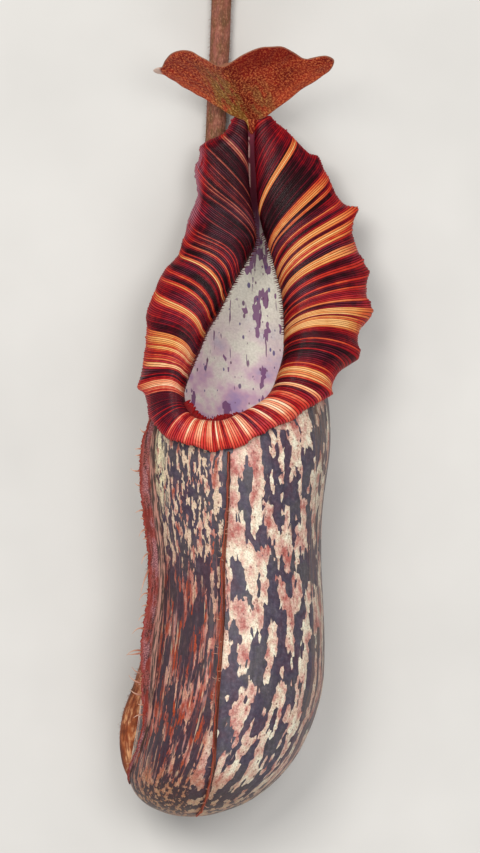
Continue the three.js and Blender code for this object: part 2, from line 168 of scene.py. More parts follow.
def hairs(name, roots, ways, lengths, radius, bends, slot, skin, sides=3, steps=4):
    """Fine tapered hairs, each a slim closed cone bent over towards its tip."""
    along = np.linspace(0, 1, steps)
    width = 1 - 0.85 * along**1.3
    line = (
        roots[:, None]
        + ways[:, None] * (lengths[:, None] * along)[..., None]
        + bends[:, None] * (lengths[:, None] * along**3)[..., None]
    )
    run = unit(ways[:, None] + 3 * bends[:, None] * along[:, None] ** 2)
    tilt = np.where(np.abs(run[..., 2:]) > 0.95, [1.0, 0.0, 0.0], UP)
    side = unit(np.cross(tilt, run))
    other = np.cross(run, side)
    points = line[..., None, :] + radius * width[:, None, None] * spokes(side, other, sides)
    one = tube(steps, sides)
    faces = [[i + n * steps * sides for i in face] for n in range(len(roots)) for face in one]
    along_hair = np.broadcast_to(along[:, None], (len(roots), steps, sides))
    return grow(name, points, faces, slot, [skin], to_tip=along_hair)


class Finish:
    """A material, with short names for the nodes that paint it. A share says how much of something
    shows: a number, a socket, or (value, low, high) for a soft step from 0 at low to 1 at high.
    The grain is the axis that the piece grew along, so that its patterns are drawn out along it."""

    def __init__(self, name, grain="Y", roughness=0.5, **constants):
        self.grain = "XYZ".index(grain)
        self.material = bpy.data.materials.new(name)
        self.material.use_nodes = True
        self.tree = self.material.node_tree
        self.shader = self.tree.nodes["Principled BSDF"].inputs
        self.fill(self.shader["Roughness"], roughness)
        for socket, value in constants.items():
            self.fill(self.shader[socket.replace("_", " ")], value)

    def fill(self, socket, value):
        if isinstance(value, bpy.types.NodeSocket):
            self.tree.links.new(value, socket)
        elif socket.type == "RGBA":
            socket.default_value = tint(value)
        else:
            socket.default_value = value

    def put(self, kind, inputs=(), **settings):
        node = self.tree.nodes.new("ShaderNode" + kind)
        for setting, value in settings.items():
            setattr(node, setting, value)
        for socket, value in dict(inputs).items():
            self.fill(node.inputs[socket], value)
        return node

    def mark(self, name, output="Fac"):
        return self.put("Attribute", attribute_name=name).outputs[output]

    def parts(self, vector):
        return self.put("SeparateXYZ", {"Vector": vector}).outputs

    def stretch(self, place, factor):
        """Places that draw a pattern out along the grain where the factor is under 1."""
        factors = [1.0, 1.0, 1.0]
        factors[self.grain] = factor
        return self.put("VectorMath", {0: place, 1: factors}, operation="MULTIPLY").outputs[0]

    def noise(self, place, scale, detail=2.0, roughness=0.5, drawn=None):
        """Cloudy pattern, stretched along the grain if drawn is given."""
        if drawn is not None:
            place = self.stretch(place, drawn)
        inputs = {"Vector": place, "Scale": scale, "Detail": detail, "Roughness": roughness}
        return self.put("TexNoise", inputs).outputs["Fac"]

    def cells(self, place, scale):
        """Patchwork of cells, with the outputs Distance, Color and Position."""
        return self.put("TexVoronoi", {"Vector": place, "Scale": scale}).outputs

    def sum(self, operation, a, b=0.0, c=0.0):
        """A sum done on up to three numbers or sockets."""
        return self.put("Math", {0: a, 1: b, 2: c}, operation=operation).outputs[0]

    def blend(self, share, a, b):
        """a where the share is 0, b where it is 1."""
        return self.sum("MULTIPLY_ADD", share, self.sum("SUBTRACT", b, a), a)

    def step(self, value, low, high):
        """0 up to low, 1 from high on; low above high turns it round."""
        node = self.put("MapRange", {"Value": value, "From Min": low, "From Max": high},
                        interpolation_type="SMOOTHSTEP")
        return node.outputs["Result"]

    def both(self, *shares):
        """The product of shares."""
        product, *others = (self.step(*s) if isinstance(s, tuple) else s for s in shares)
        for share in others:
            product = self.sum("MULTIPLY", product, share)
        return product

    def lay(self, under, over, *shares, way="MIX"):
        """One colour over another, as far as the product of the shares says."""
        inputs = {0: self.both(*shares), 6: under, 7: over}
        return self.put("Mix", inputs, data_type="RGBA", blend_type=way).outputs[2]

    def coats(self, colour, *rows):
        """Coats of paint one after another, each a row of its colour and its shares."""
        for over, *shares in rows:
            colour = self.lay(colour, over, *shares)
        return colour

    def ramp(self, value, *stops):
        node = self.put("ValToRGB", {"Fac": value})
        marks = node.color_ramp.elements
        while len(marks) < len(stops):
            marks.new(0.5)
        for mark, (place, colour) in zip(marks, stops):
            mark.position = place
            mark.color = tint(colour)
        return node.outputs["Color"]

    def relief(self, height, depth, under=None):
        inputs = {"Height": height, "Distance": depth, "Strength": 1.0}
        if under is not None:
            inputs["Normal"] = under
        return self.put("Bump", inputs).outputs["Normal"]

    def coat(self, colour, relief=None):
        self.fill(self.shader["Base Color"], colour)
        if relief is not None:
            self.fill(self.shader["Normal"], relief)
        return self.material


def tint(colour):
    """Colour as seen on a screen, 0 to 255 each, as Blender's linear light."""
    share = np.array(colour[:3]) / 255
    linear = np.where(share <= 0.04045, share / 12.92, ((share + 0.055) / 1.055) ** 2.4)
    return (*linear.tolist(), 1.0)


def tendril_skin():
    finish = Finish("tendril_skin", grain="Z", roughness=0.7, Specular_IOR_Level=0.2)
    place = finish.mark("strand_place", "Vector")
    long_grain = finish.noise(place, 2600, 4, 0.6, drawn=0.08)
    patches = finish.noise(place, 420, 4, 0.6, drawn=0.4)
    fuzz = finish.noise(place, 2200, 3, 0.6, drawn=0.5)
    warm = finish.ramp(patches, (0.36, (98, 46, 24)), (0.5, (158, 84, 46)), (0.62, (216, 158, 112)))
    colour = finish.coats(
        finish.ramp(patches, (0.38, (106, 74, 46)), (0.5, (133, 80, 60)), (0.62, (152, 92, 78))),
        ((188, 140, 112), (fuzz, 0.5, 0.68), 0.5),
        ((86, 56, 42), (fuzz, 0.48, 0.32), 0.5),
        ((98, 62, 54), (long_grain, 0.5, 0.66), 0.5),
        ((70, 42, 36), (finish.cells(place, 620)["Distance"], 0.1, 0.05)),
        (finish.lay(warm, (118, 52, 32), (long_grain, 0.48, 0.6), 0.85), finish.mark("foot")),
    )
    return finish.coat(colour, finish.relief(long_grain, 0.1 * MM))


t = np.linspace(0, 1, TENDRIL_RINGS)
line = smooth(TENDRIL, t)
run = unit(smooth(TENDRIL, t + 0.005)[:, :3] - smooth(TENDRIL, t - 0.005)[:, :3])
length = line_length(line[:, :3])
grooves = turns(TENDRIL_SIDES)
down = length[:, None]
swell = 0.012 * np.sin(5 * grooves + 40 * down) + 0.008 * np.sin(11 * grooves - 90 * down)
swell += 0.02 * np.sin(260 * down + 2 * np.cos(grooves))
strand = across_ring(line[:, :3], run, line[:, 3], TENDRIL_SIDES, 1 + swell[..., None])
cut = [strand[0].mean(0) * (1 - k) + strand[0] * k for k in (0, 0.35, 0.7, 0.93)]
foot_end = strand[-1].mean(0) * np.ones((TENDRIL_SIDES, 1))
strand_grid = np.concatenate([cut, strand, [foot_end]])
grid_length = np.concatenate([[0] * len(cut), length, [length[-1]]])
around = np.stack([np.cos(grooves), np.sin(grooves)], -1) * 3 * MM
strand_place = np.concatenate([
    np.broadcast_to(around, (len(strand_grid), TENDRIL_SIDES, 2)),
    np.broadcast_to(grid_length[:, None, None], (len(strand_grid), TENDRIL_SIDES, 1)),
], -1)
to_foot = ease(0.8, 0.93, grid_length / length[-1])[:, None] * np.ones(TENDRIL_SIDES)
tendril = grow("tendril_strand", strand_grid, weave(*strand_grid.shape[:2], round_columns=True),
               "tendril_bark", [tendril_skin()], strand_place=strand_place, foot=to_foot)
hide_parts("tendril")

draw = np.random.default_rng(11)
at = draw.integers(4, int(TENDRIL_RINGS * 0.86), TENDRIL_HAIRS)
sides = draw.integers(0, TENDRIL_SIDES, TENDRIL_HAIRS)
roots = strand[at, sides]
out = unit(roots - line[at, :3])
keep = roots[:, 2] > 0.7 * MM
roots, out, at = roots[keep], out[keep], at[keep]
lengths = draw.uniform(0.45, 1.2, len(roots)) * MM
ways = unit(out + 0.35 * draw.normal(size=out.shape))


def hair_skin(name, root_colour, tip_colour):
    finish = Finish(name, roughness=0.6, Specular_IOR_Level=0.15)
    to_tip = finish.mark("to_tip")
    return finish.coat(finish.ramp(to_tip, (0.1, root_colour), (0.8, tip_colour)))


hair_brown = hair_skin("hair_brown", (96, 54, 40), (158, 108, 84))
hairs("tendril_fuzz", roots - 0.08 * MM * out, ways, lengths, 0.06 * MM,
      0.5 * run[at] * draw.uniform(-0.3, 1, len(at))[:, None], "tendril_bark", hair_brown)


# The cup is one hollow leaf: a rounded base, a slightly waisted body and an oblique mouth that runs up
# into a narrow neck at the back. Its skin is smooth and firm, slate-purple with cream and pink
# blotches drawn out along its growth, and its inner face is pale and spotted like wax paper.
WALL = 1.6 * MM
BODY = MM * np.array([
    [-42.2, -13.5, 0, 25, 0],
    [-41.2, -13.4, 7, 25, 7],
    [-37.8, -12.3, 15.3, 25.2, 13.5],
    [-32, -10.3, 21.3, 25.6, 19.2],
    [-24.5, -6.9, 24.4, 26.3, 23.4],
    [-15, -3.6, 26, 27, 26.6],
    [-4, -1.2, 26.9, 27.4, 28.2],
    [8, 0.2, 26.3, 27.6, 28],
    [22, 0.9, 25.2, 27.8, 27],
    [36, 0.7, 24.8, 28, 26.8],
    [50, 0.2, 25.7, 28, 27.6],
    [62, 0.4, 27, 28, 28.5],
])  # y, middle x, half width, middle z and half depth from the base to just under the mouth
MOUTH = np.array([
    [3.4, 166.2, 10.5, -0.3, 168.2, 11, 1.5, -186],
    [3.2, 161, 10.5, -3.9, 164.6, 13, 3, -184],
    [3.2, 154.5, 10.5, -9.2, 161.2, 15, 4, -181],
    [3.4, 147, 10.5, -11.6, 155.2, 16, 5, -177],
    [4, 141, 11, -12, 147, 17, 5.5, -172],
    [5, 135.5, 11.5, -13, 140, 18, 6, -165],
    [5.5, 130, 13, -15, 132, 20.5, 6.5, -156],
    [3.5, 125.5, 15.5, -18, 126, 23, 6.5, -145],
    [0.5, 120.5, 19, -21.5, 121, 25.5, 6.5, -132],
    [-2.5, 115, 23, -24.5, 115, 28, 6.5, -119],
    [-5.5, 109, 27, -26.5, 108, 30.5, 6.5, -106],
    [-8.5, 104, 31, -27.5, 101, 33, 6, -93],
    [-11, 98, 35, -27.5, 94, 36, 5.5, -80],
    [-13.5, 92, 39, -28, 86.5, 39, 5, -67],
    [-15.5, 85.5, 43.5, -26.5, 80.5, 44, 4.5, -54],
    [-14.5, 80, 48, -23, 75, 51, 4.5, -42],
    [-11.8, 75.6, 51, -16.5, 71, 57, 4.5, -31],
    [-7.2, 74.2, 52, -8.5, 69.8, 59, 4.5, -20],
    [-2.8, 74.9, 51.5, -0.5, 70, 59, 4.5, -9],
    [2, 77, 49.5, 8, 74, 57, 4.5, 4],
    [6.8, 80.2, 46.5, 17, 79, 51, 5, 20],
    [10.5, 85.2, 42.5, 26, 83.5, 42.5, 5.5, 36],
    [12.5, 90.2, 38.5, 31, 89.5, 36.5, 6.5, 52],
    [14.2, 96.6, 34.5, 35, 96, 32, 7.5, 66],
    [14.5, 103, 30.5, 37, 104, 28, 8, 78],
    [14.5, 108.5, 26, 38.5, 112, 25.5, 8, 88],
    [14, 114.5, 22, 38, 120.5, 23, 8, 98],
    [12.5, 120.5, 18.5, 36, 129.5, 20, 7.5, 108],
    [11, 126.5, 15.5, 33.5, 137, 18, 7, 120],
    [9.5, 131, 13, 31, 144.2, 16, 6.5, 131],
    [8, 136.5, 12, 27.4, 151.6, 14.5, 6, 141],
    [7, 143, 11, 22.8, 157.6, 13.5, 5, 149],
    [6.6, 149.5, 10.5, 18, 162.8, 12.5, 4, 156],
    [6, 158, 10.5, 14, 166.4, 12, 3, 162],
    [6, 166.2, 10.5, 10.2, 168.4, 11.5, 1.5, 166],
])  # collar's inner edge x, y, z, outer edge x, y, z and roll in mm, and the wall's bearing in degrees
ROLL = np.array([
    [0.02, -0.25],
    [0, 0.2],
    [0.06, 0.62],
    [0.2, 0.92],
    [0.38, 1],
    [0.58, 0.88],
    [0.78, 0.6],
    [0.93, 0.22],
    [1, -0.12],
    [0.96, -0.4],
])  # the collar's section from its inner to its outer edge: share of its width, share of its roll
LOBES = np.array([
    [2.3, 1.5], [12.8, 1.8], [21.3, 2.2], [23.3, 2.4], [25.1, 2.6], [26.6, 2.8], [28.4, 3],
])  # row of the mouth's table that a lobe of the outer edge is at, and its reach in mm
LOBE_WIDTH = 0.32
MOUTH_FACES = unit(np.array([-0.15, 0.5, 0.85]))
COLLAR_THICK = 0.93 * MM, 1.5 * MM  # at its edges and midway across
WALL_EDGE = 0.3, 0.05  # how far across the collar the wall's outer and inner faces meet it
SHOULDER = 0.16  # how far the wall swells out below the collar, as a share of its height there
NECK_DEEP = 2.2 * MM  # how far the wall bows back behind the neck
BODY_RADIUS = 26 * MM
BASE_LENGTH = 30 * MM  # how far the leaf grows from the base before it is that wide
CUP_COLUMNS = 230
NECK_COLUMNS = 9
BODY_RINGS = 130
RIM_RINGS = 90
INSIDE_RINGS = 110


def collar_row(u):
    """The collar's edges and roll at u, from 0 at the neck's top left round the mouth to 1."""
    row = smooth(MOUTH, u)
    inner, across, roll = row[..., :3] * MM, (row[..., 3:6] - row[..., :3]) * MM, row[..., 6:7] * MM
    from_lobe = np.abs(np.asarray(u)[..., None] * (len(MOUTH) - 1) - LOBES[:, 0])
    lobe = (LOBES[:, 1] * MM * np.exp(-from_lobe / LOBE_WIDTH)).sum(-1, keepdims=True)
    width = np.linalg.norm(across, axis=-1, keepdims=True) + lobe
    across = unit(across)
    lift = unit(MOUTH_FACES - across * (across @ MOUTH_FACES)[..., None])
    return inner, across, lift, width, roll, row[..., 7]


def collar_point(u, v):
    """A point of the collar's upper face: v is 0 at the inner edge, 1 at the curled outer edge."""
    inner, across, lift, width, roll, _ = collar_row(u)
    section = smooth(ROLL, v)
    return inner + across * section[..., :1] * width + lift * section[..., 1:] * roll


def collar_normal(u, v):
    u0, u1 = np.clip(u - 0.004, 0, 1), np.clip(u + 0.004, 0, 1)
    v0, v1 = np.clip(v - 0.004, 0, 1), np.clip(v + 0.004, 0, 1)
    along = collar_point(u1, v) - collar_point(u0, v)
    across = collar_point(u, v1) - collar_point(u, v0)
    return unit(np.cross(across, along))


def collar_under(u, v):
    low, high = COLLAR_THICK
    thick = low + (high - low) * np.sin(np.pi * v)
    return collar_point(u, v) - collar_normal(u, v) * thick[..., None]


def wall_point(u, s, inset=0.0):
    """The wall at column u: s is 0 at the base, 1 under the mouth and 2 at the collar's lower face."""
    u, s = np.broadcast_arrays(np.asarray(u, float), np.asarray(s, float))
    bearing = collar_row(u)[5]
    place = np.minimum(s, 1)
    y, mid_x, half_x, mid_z, half_z = np.moveaxis(smooth(BODY, place), -1, 0)
    rise = smooth(BODY, place + 0.01) - smooth(BODY, place - 0.01)
    slope = np.arctan2(rise[..., 2], rise[..., 0])
    inward = inset * np.cos(slope)
    a = np.radians(bearing)
    x = mid_x + np.maximum(half_x - inward, 0) * np.sin(a)
    z = mid_z + np.maximum(half_z - inward, 0) * np.cos(a)
    y = y + inset * np.sin(slope)
    edge = WALL_EDGE[0] + (WALL_EDGE[1] - WALL_EDGE[0]) * inset / WALL
    seat = collar_under(u, np.full(u.shape, edge))
    up = np.maximum(s - 1, 0)
    x = x + SHOULDER * (seat[..., 1] - y) * up * (1 - up) * np.sin(a)
    lean = up ** (2 + 3 * ease(120, 165, np.abs(bearing)))
    return np.stack([x + (seat[..., 0] - x) * lean, y + (seat[..., 1] - y) * up,
                     z + (seat[..., 2] - z) * lean], -1)


def wall_grid(steps, inset=0.0):
    """Rings of the wall, each closed by a few more columns across the back of the neck."""
    u = np.linspace(0, 1, CUP_COLUMNS)
    rings = wall_point(u[None, :], np.asarray(steps)[:, None], inset)
    k = np.linspace(0, 1, NECK_COLUMNS + 2)[1:-1][None, :, None]
    back = rings[:, -1:] * (1 - k) + rings[:, :1] * k
    deep = NECK_DEEP * (1 - inset / WALL) * np.maximum(np.asarray(steps) - 1, 0) ** 4
    back[..., 2] -= deep[:, None] * np.sin(np.pi * k[..., 0]) ** 0.7
    return np.concatenate([rings, back], 1)


def blotched_skin():
    finish = Finish("blotched_skin", grain="Z", roughness=0.46, Coat_Weight=0.1, Coat_Roughness=0.3,
                    Specular_IOR_Level=0.3, Subsurface_Weight=0.06, Subsurface_Scale=2 * MM)
    place = finish.mark("wall_place", "Vector")
    bearing = finish.mark("bearing")
    height = finish.parts(place)["Z"]
    between_wings = finish.both((bearing, -84, -72), (bearing, -7, -13))
    low = finish.step(height, 0.106, 0.076)
    low_left = finish.both(between_wings, low)

    drawn = finish.stretch(place, 0.4)
    blocks = finish.lay(drawn, finish.cells(drawn, 1050)["Position"], 0.8)
    ladder = finish.noise(blocks, 330, drawn=0.42)
    wide = finish.blend(0.6, finish.noise(blocks, 280), ladder)
    slim = finish.stretch(place, 0.34)
    flakes = finish.lay(slim, finish.cells(slim, 2000)["Position"], 0.7)
    short = finish.noise(flakes, 880, 2.5, drawn=0.75)
    long = finish.noise(flakes, 640, 2.5, drawn=0.42)
    fine = finish.sum("SUBTRACT", finish.blend(low, short, long), 0.023)
    by_front_wing = finish.both((bearing, -19, -13), (bearing, 1, -2), (height, 0.09, 0.106), 0.05)
    level = finish.sum("ADD", finish.blend(between_wings, wide, fine), by_front_wing)

    mottle = finish.noise(place, 800, 4, 0.7)
    slow = finish.noise(place, 110, 3, 0.55)
    ground = finish.coats(
        finish.ramp(mottle, (0.36, (50, 42, 54)), (0.52, (76, 66, 80)), (0.68, (104, 94, 104))),
        (finish.ramp(slow, (0.4, (78, 46, 62)), (0.5, (64, 58, 76)), (0.6, (78, 76, 74))), 0.45),
        ((40, 30, 40), (level, 0.47, 0.512), 0.45),
    )

    warm = finish.noise(place, 260, 5, 0.66, drawn=0.6)
    grime = finish.noise(place, 1900, 3, 0.7)
    shade = finish.ramp(grime, (0.38, (186, 172, 162)), (0.56, (255, 255, 255)))
    pale = finish.ramp(warm, (0.38, (232, 226, 204)), (0.47, (220, 196, 174)),
                       (0.54, (206, 162, 148)), (0.64, (174, 98, 90)))
    tone = finish.noise(place, 420, 3, 0.6, drawn=0.3)
    tone = finish.sum("MULTIPLY_ADD", low, 0.11, finish.sum("SUBTRACT", tone, 0.05))
    marks = finish.ramp(tone, (0.44, (222, 206, 178)), (0.52, (198, 148, 134)),
                        (0.61, (168, 86, 66)), (0.68, (182, 88, 42)))
    freckle = finish.cells(finish.stretch(place, 0.7), 850)
    pale = finish.coats(
        finish.lay(pale, shade, 0.65, way="MULTIPLY"),
        ((146, 84, 72), (mottle, 0.6, 0.68), 0.8),
        (finish.lay(marks, shade, 0.7, way="MULTIPLY"), between_wings),
        ((112, 62, 56), (freckle["Distance"], 0.27, 0.16), (freckle["Color"], 0.46, 0.54), 0.8),
    )

    colour = finish.lay(ground, pale, (level, 0.499, 0.506))
    colour = finish.lay(colour, (222, 160, 150), low_left, 0.6, way="MULTIPLY")
    colour = finish.lay(colour, (240, 222, 224), between_wings, 0.6, way="MULTIPLY")
    cream = finish.lay((232, 222, 186), shade, 0.8, way="MULTIPLY")
    broken = finish.noise(place, 900, 3, 0.6, drawn=0.3)
    threads = finish.noise(place, 1000, 3, 0.6, drawn=0.06)
    thread_tone = finish.ramp(tone, (0.48, (176, 128, 122)), (0.58, (170, 96, 74)),
                              (0.68, (206, 178, 150)))
    turned_away = finish.both((bearing, 50, 66), (bearing, 104, 88))
    hair_lines = finish.noise(place, 2200, 2, 0.6, drawn=0.03)
    tan = finish.ramp(level, (0.5, (64, 42, 38)), (0.515, (148, 106, 78)), (0.56, (174, 138, 100)))
    colour = finish.coats(
        colour,
        (cream, (bearing, -68, -63), (bearing, -50, -56), (height, 0.104, 0.116), (broken, 0.47, 0.48)),
        (thread_tone, low_left, (threads, 0.56, 0.62), 0.7),
        ((58, 46, 56), low_left, (threads, 0.47, 0.41), 0.8),
        ((126, 90, 70), turned_away, (hair_lines, 0.5, 0.6), 0.7),
        ((56, 42, 40), turned_away, (hair_lines, 0.46, 0.38), 0.6),
        (finish.lay(tan, shade, 0.8, way="MULTIPLY"), (height, 0.036, 0.014), 0.8),
        ((160, 104, 62), (height, 0.012, 0.004), (mottle, 0.4, 0.56), 0.8),
    )
    lines = finish.noise(place, 900, 3, drawn=0.06)
    return finish.coat(colour, finish.relief(lines, 0.12 * MM, finish.relief(mottle, 0.06 * MM)))


def spotted_inside():
    finish = Finish("spotted_inside", grain="Z", roughness=0.55, Coat_Weight=0.06, Coat_Roughness=0.4,
                    Specular_IOR_Level=0.2)
    place = finish.mark("wall_place", "Vector")
    height = finish.parts(place)["Z"]
    grain = finish.noise(place, 1500, 3, 0.6)
    slow = finish.noise(place, 130, 3, 0.55)
    paper = finish.ramp(grain, (0.3, (218, 214, 200)), (0.55, (238, 234, 220)), (0.75, (248, 246, 234)))
    lavender = finish.ramp(slow, (0.42, (234, 202, 212)), (0.54, (214, 172, 198)),
                           (0.66, (176, 146, 194)))
    drawn = finish.stretch(place, 0.5)
    blocks = finish.lay(drawn, finish.cells(drawn, 1200)["Position"], 0.85)
    to_neck = finish.both((height, 0.15, 0.185), 0.07)
    streaks = finish.sum("ADD", finish.noise(blocks, 330, 1.5, drawn=0.7), to_neck)
    runs = finish.noise(place, 700, drawn=0.12)
    runs = finish.sum("MULTIPLY_ADD", finish.step(height, 0.172, 0.19), 0.14, runs)
    spot = finish.cells(drawn, 540)
    kept, size, hue = finish.parts(spot["Color"])
    size = finish.sum("MULTIPLY_ADD", size, 0.16, 0.06)
    from_rim = finish.sum("SUBTRACT", spot["Distance"], size)
    spot_tone = finish.ramp(hue, (0.3, (112, 66, 96)), (0.7, (96, 82, 136)))
    neck = finish.step(height, 0.186, 0.198)
    purple = finish.ramp(height, (0.19, (124, 66, 108)), (0.2, (110, 30, 50)))
    broken = finish.noise(place, 500, drawn=0.5)
    colour = finish.coats(
        paper,
        (lavender, (height, 0.172, 0.14), (slow, 0.3, 0.56), 0.95),
        ((124, 70, 122), (streaks, 0.645, 0.655), 0.9),
        ((118, 72, 112), (runs, 0.66, 0.69), 0.9),
        (spot_tone, (from_rim, 0.04, 0), (kept, 0.3, 0.32), 0.9),
        (purple, neck),
        # Painted highlight: a broken pale pink line down the keel at the back of the neck, standing for
        # a glint there.
        ((236, 184, 172), finish.mark("keel"), neck, (broken, 0.45, 0.52), 0.9),
    )
    return finish.coat(colour, finish.relief(grain, 0.05 * MM))


def grown_length(rings):
    """Distance that the leaf has grown from the base, at every point of its rings."""
    steps = np.linalg.norm(np.diff(rings, axis=0), axis=2)
    return np.concatenate([np.zeros((1, rings.shape[1])), np.cumsum(steps, axis=0)])


outside = np.concatenate([np.linspace(0, 0.1, 24)[:-1], np.linspace(0.1, 1, BODY_RINGS),
                          np.linspace(1, 2, RIM_RINGS)[1:]])
inside = np.linspace(2, 0, INSIDE_RINGS)
outer_grid, inner_grid = wall_grid(outside), wall_grid(inside, WALL)
bearings = collar_row(np.linspace(0, 1, CUP_COLUMNS))[5]
behind = np.linspace(bearings[-1], 360 + bearings[0], NECK_COLUMNS + 2)[1:-1]
around = np.radians(np.concatenate([bearings, behind]))[None, :]
grown = grown_length(outer_grid)
draw = np.random.default_rng(5)
ridge = np.zeros(grown.shape)
for count in (31, 37, 44, 52, 61):
    ridge += np.sin(count * around + draw.uniform(-40, 40) * grown + draw.uniform(0, 6.28))
ridge *= 0.05 * MM * ease(0.06, 0.3, outside)[:, None] * ease(2.0, 1.9, outside)[:, None]
outward = unit(np.stack([np.sin(around), 0 * around, np.cos(around)], -1))
outer_grid += ridge[..., None] * outward
cup_grid = np.concatenate([outer_grid, inner_grid])
turned = around * np.ones((len(cup_grid), 1))
length = np.concatenate([grown, grown_length(inner_grid[::-1])[::-1]])
girth = BODY_RADIUS * np.sin(np.pi / 2 * np.clip(length / BASE_LENGTH, 0, 1))
wall_place = np.stack([girth * np.sin(turned), girth * np.cos(turned), length], -1)
cup_faces = weave(*cup_grid.shape[:2], round_columns=True)
faces_a_ring = cup_grid.shape[1]
# The keel column carries the painted highlight line at the back of the neck.
keel = np.zeros(cup_grid.shape[:2])
keel[:, -3] = 1
inner_face = (np.arange(len(cup_faces)) >= (len(outer_grid) - 1) * faces_a_ring).astype(np.int32)
cup = grow("cup_wall", cup_grid, cup_faces, "pitcher_wall", [blotched_skin(), spotted_inside()],
           inner_face, wall_place=wall_place, bearing=np.degrees(turned), keel=keel)
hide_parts("cup")


# Two wings run up the cup, thin blades of leaf that grow out of its wall: a broad one on the left and a
# low one down the front. Both are reddish-brown, with a frayed edge of fine curling filaments.
WING_LEFT = np.array([
    [0.27, -90, 0.6, 0.7],
    [0.33, -79, 1.1, 0.8],
    [0.39, -68, 1.1, 0.9],
    [0.47, -62, 1.8, 1],
    [0.56, -63, 3.7, 1],
    [0.66, -68, 4.9, 1],
    [0.77, -66, 4.6, 1],
    [0.87, -67, 4.6, 1],
    [0.96, -68, 4.6, 1],
    [1.15, -66.5, 4.2, 1],
    [1.6, -66, 2.2, 1],
])
WING_FRONT = np.array([
    [0.1, 12, 0.8, 0.5],
    [0.21, 9, 2, 0.45],
    [0.33, 3, 3, 0.5],
    [0.45, -5.2, 3.4, 0.48],
    [0.57, -9.5, 3.5, 0.52],
    [0.69, -10.4, 3.5, 0.48],
    [0.81, -10.3, 3.4, 0.5],
    [0.92, -6, 3, 0.4],
    [1.1, -5.4, 2.4, 0.4],
    [1.4, -5.4, 1, 0.4],
])  # place up the wall, bearing round it in degrees, height in mm and share of the full thickness
WING_STATIONS = 620
WING_SECTION = np.array([
    [-0.5, 1.5], [0, 1.2], [0.15, 0.8], [0.35, 0.46], [0.6, 0.34], [0.82, 0.28], [0.95, 0.2], [1, 0],
])  # share of its height, half its thickness in mm
FRINGE_LEFT = np.array([
    [73.5, 1.6, 0.6, 0], [68.7, 2, -0.1, 0], [66.6, 1.5, 0, 0], [62, 2.6, 0.5, 0], [57.6, 2, 0.5, 0],
    [50.4, 2.4, -0.3, 0], [48, 1.2, 0, 0], [44.7, 2.8, -0.8, 0], [42, 1.5, -0.1, 0], [37.5, 3.4, -1, 0],
    [33, 5.6, -0.5, -1.6], [25.5, 3, -1.1, 0.2], [22.2, 2.2, -0.3, 0], [19.2, 2.8, -0.8, 0],
    [15, 3.4, -0.9, 0.2], [8.7, 4.8, -0.5, 0], [7.8, 4.6, 0.1, -0.3], [1.8, 5, 0.3, 0.1],
    [-1.2, 4.3, 0.4, 0.1], [-4.5, 3.8, 0.4, 0], [-7.5, 1.8, 0.1, 0], [-10.5, 3, -0.4, 0],
])  # y and length in mm, how far its tip curls up, and how far it leans up


def wing_frame(wing, t):
    """A wing's root on the wall, the ways out, round and along the wall, and its height."""
    place, bearing, height, _ = np.moveaxis(smooth(wing, t), -1, 0)
    columns = np.linspace(0, 1, 4001)
    u = np.interp(bearing, collar_row(columns)[5], columns)
    root = wall_point(u, place)
    half = smooth(BODY, np.minimum(place, 1))
    a = np.radians(bearing)
    out = np.stack([np.sin(a) * half[..., 4], 0 * a, np.cos(a) * half[..., 2]], -1)
    t0, t1 = np.clip(t - 0.01, 0, 1), np.clip(t + 0.01, 0, 1)
    run = unit(wall_point(u, smooth(wing, t1)[..., 0]) - wall_point(u, smooth(wing, t0)[..., 0]))
    out = unit(out - run * (out * run).sum(-1, keepdims=True))
    return root, out, np.cross(run, out), run, height * MM


def wing_skin(name, blade, edge, root):
    finish = Finish(name, roughness=0.55, Specular_IOR_Level=0.2, Subsurface_Weight=0.08,
                    Subsurface_Scale=0.8 * MM)
    place = finish.mark("wing_place", "Vector")
    to_edge = finish.mark("to_edge")
    up_wing = finish.parts(place)["Y"]
    speckle = finish.noise(place, 2800, 4, 0.7)
    dark = [share * 0.42 for share in blade]
    pale = [min(share * 1.25 + 12, 255) for share in blade]
    grain = finish.noise(place, 1100, 3, 0.6, drawn=0.1)
    slow = finish.noise(place, 190, 3, drawn=0.5)
    reddened = finish.noise(place, 420, 3, 0.6, drawn=0.4)
    mauve = finish.noise(place, 330, 3, 0.6, drawn=0.22)
    mauve_tone = finish.ramp(speckle, (0.4, (92, 52, 62)), (0.5, (142, 90, 96)), (0.6, (184, 136, 134)))
    flakes = finish.noise(place, 2600, 3, 0.6, drawn=0.06)
    foot = finish.ramp(flakes, (0.47, [share * 0.45 for share in root]), (0.53, root),
                       (0.62, [share * 1.2 for share in root]))
    colour = finish.coats(
        finish.ramp(speckle, (0.4, dark), (0.5, blade), (0.6, pale)),
        (dark, (grain, 0.51, 0.56), 0.8),
        (pale, (grain, 0.45, 0.4), 0.7),
        (edge, (slow, 0.5, 0.6), 0.5),
        (edge, (up_wing, 70 * MM, 45 * MM), (reddened, 0.49, 0.56), 0.6),
        (mauve_tone, (mauve, 0.5, 0.58), 0.6),
        (foot, (to_edge, 0.4, 0.2)),
        (edge, (to_edge, 0.7, 0.96), 0.8),
    )
    return finish.coat(colour, finish.relief(speckle, 0.07 * MM))


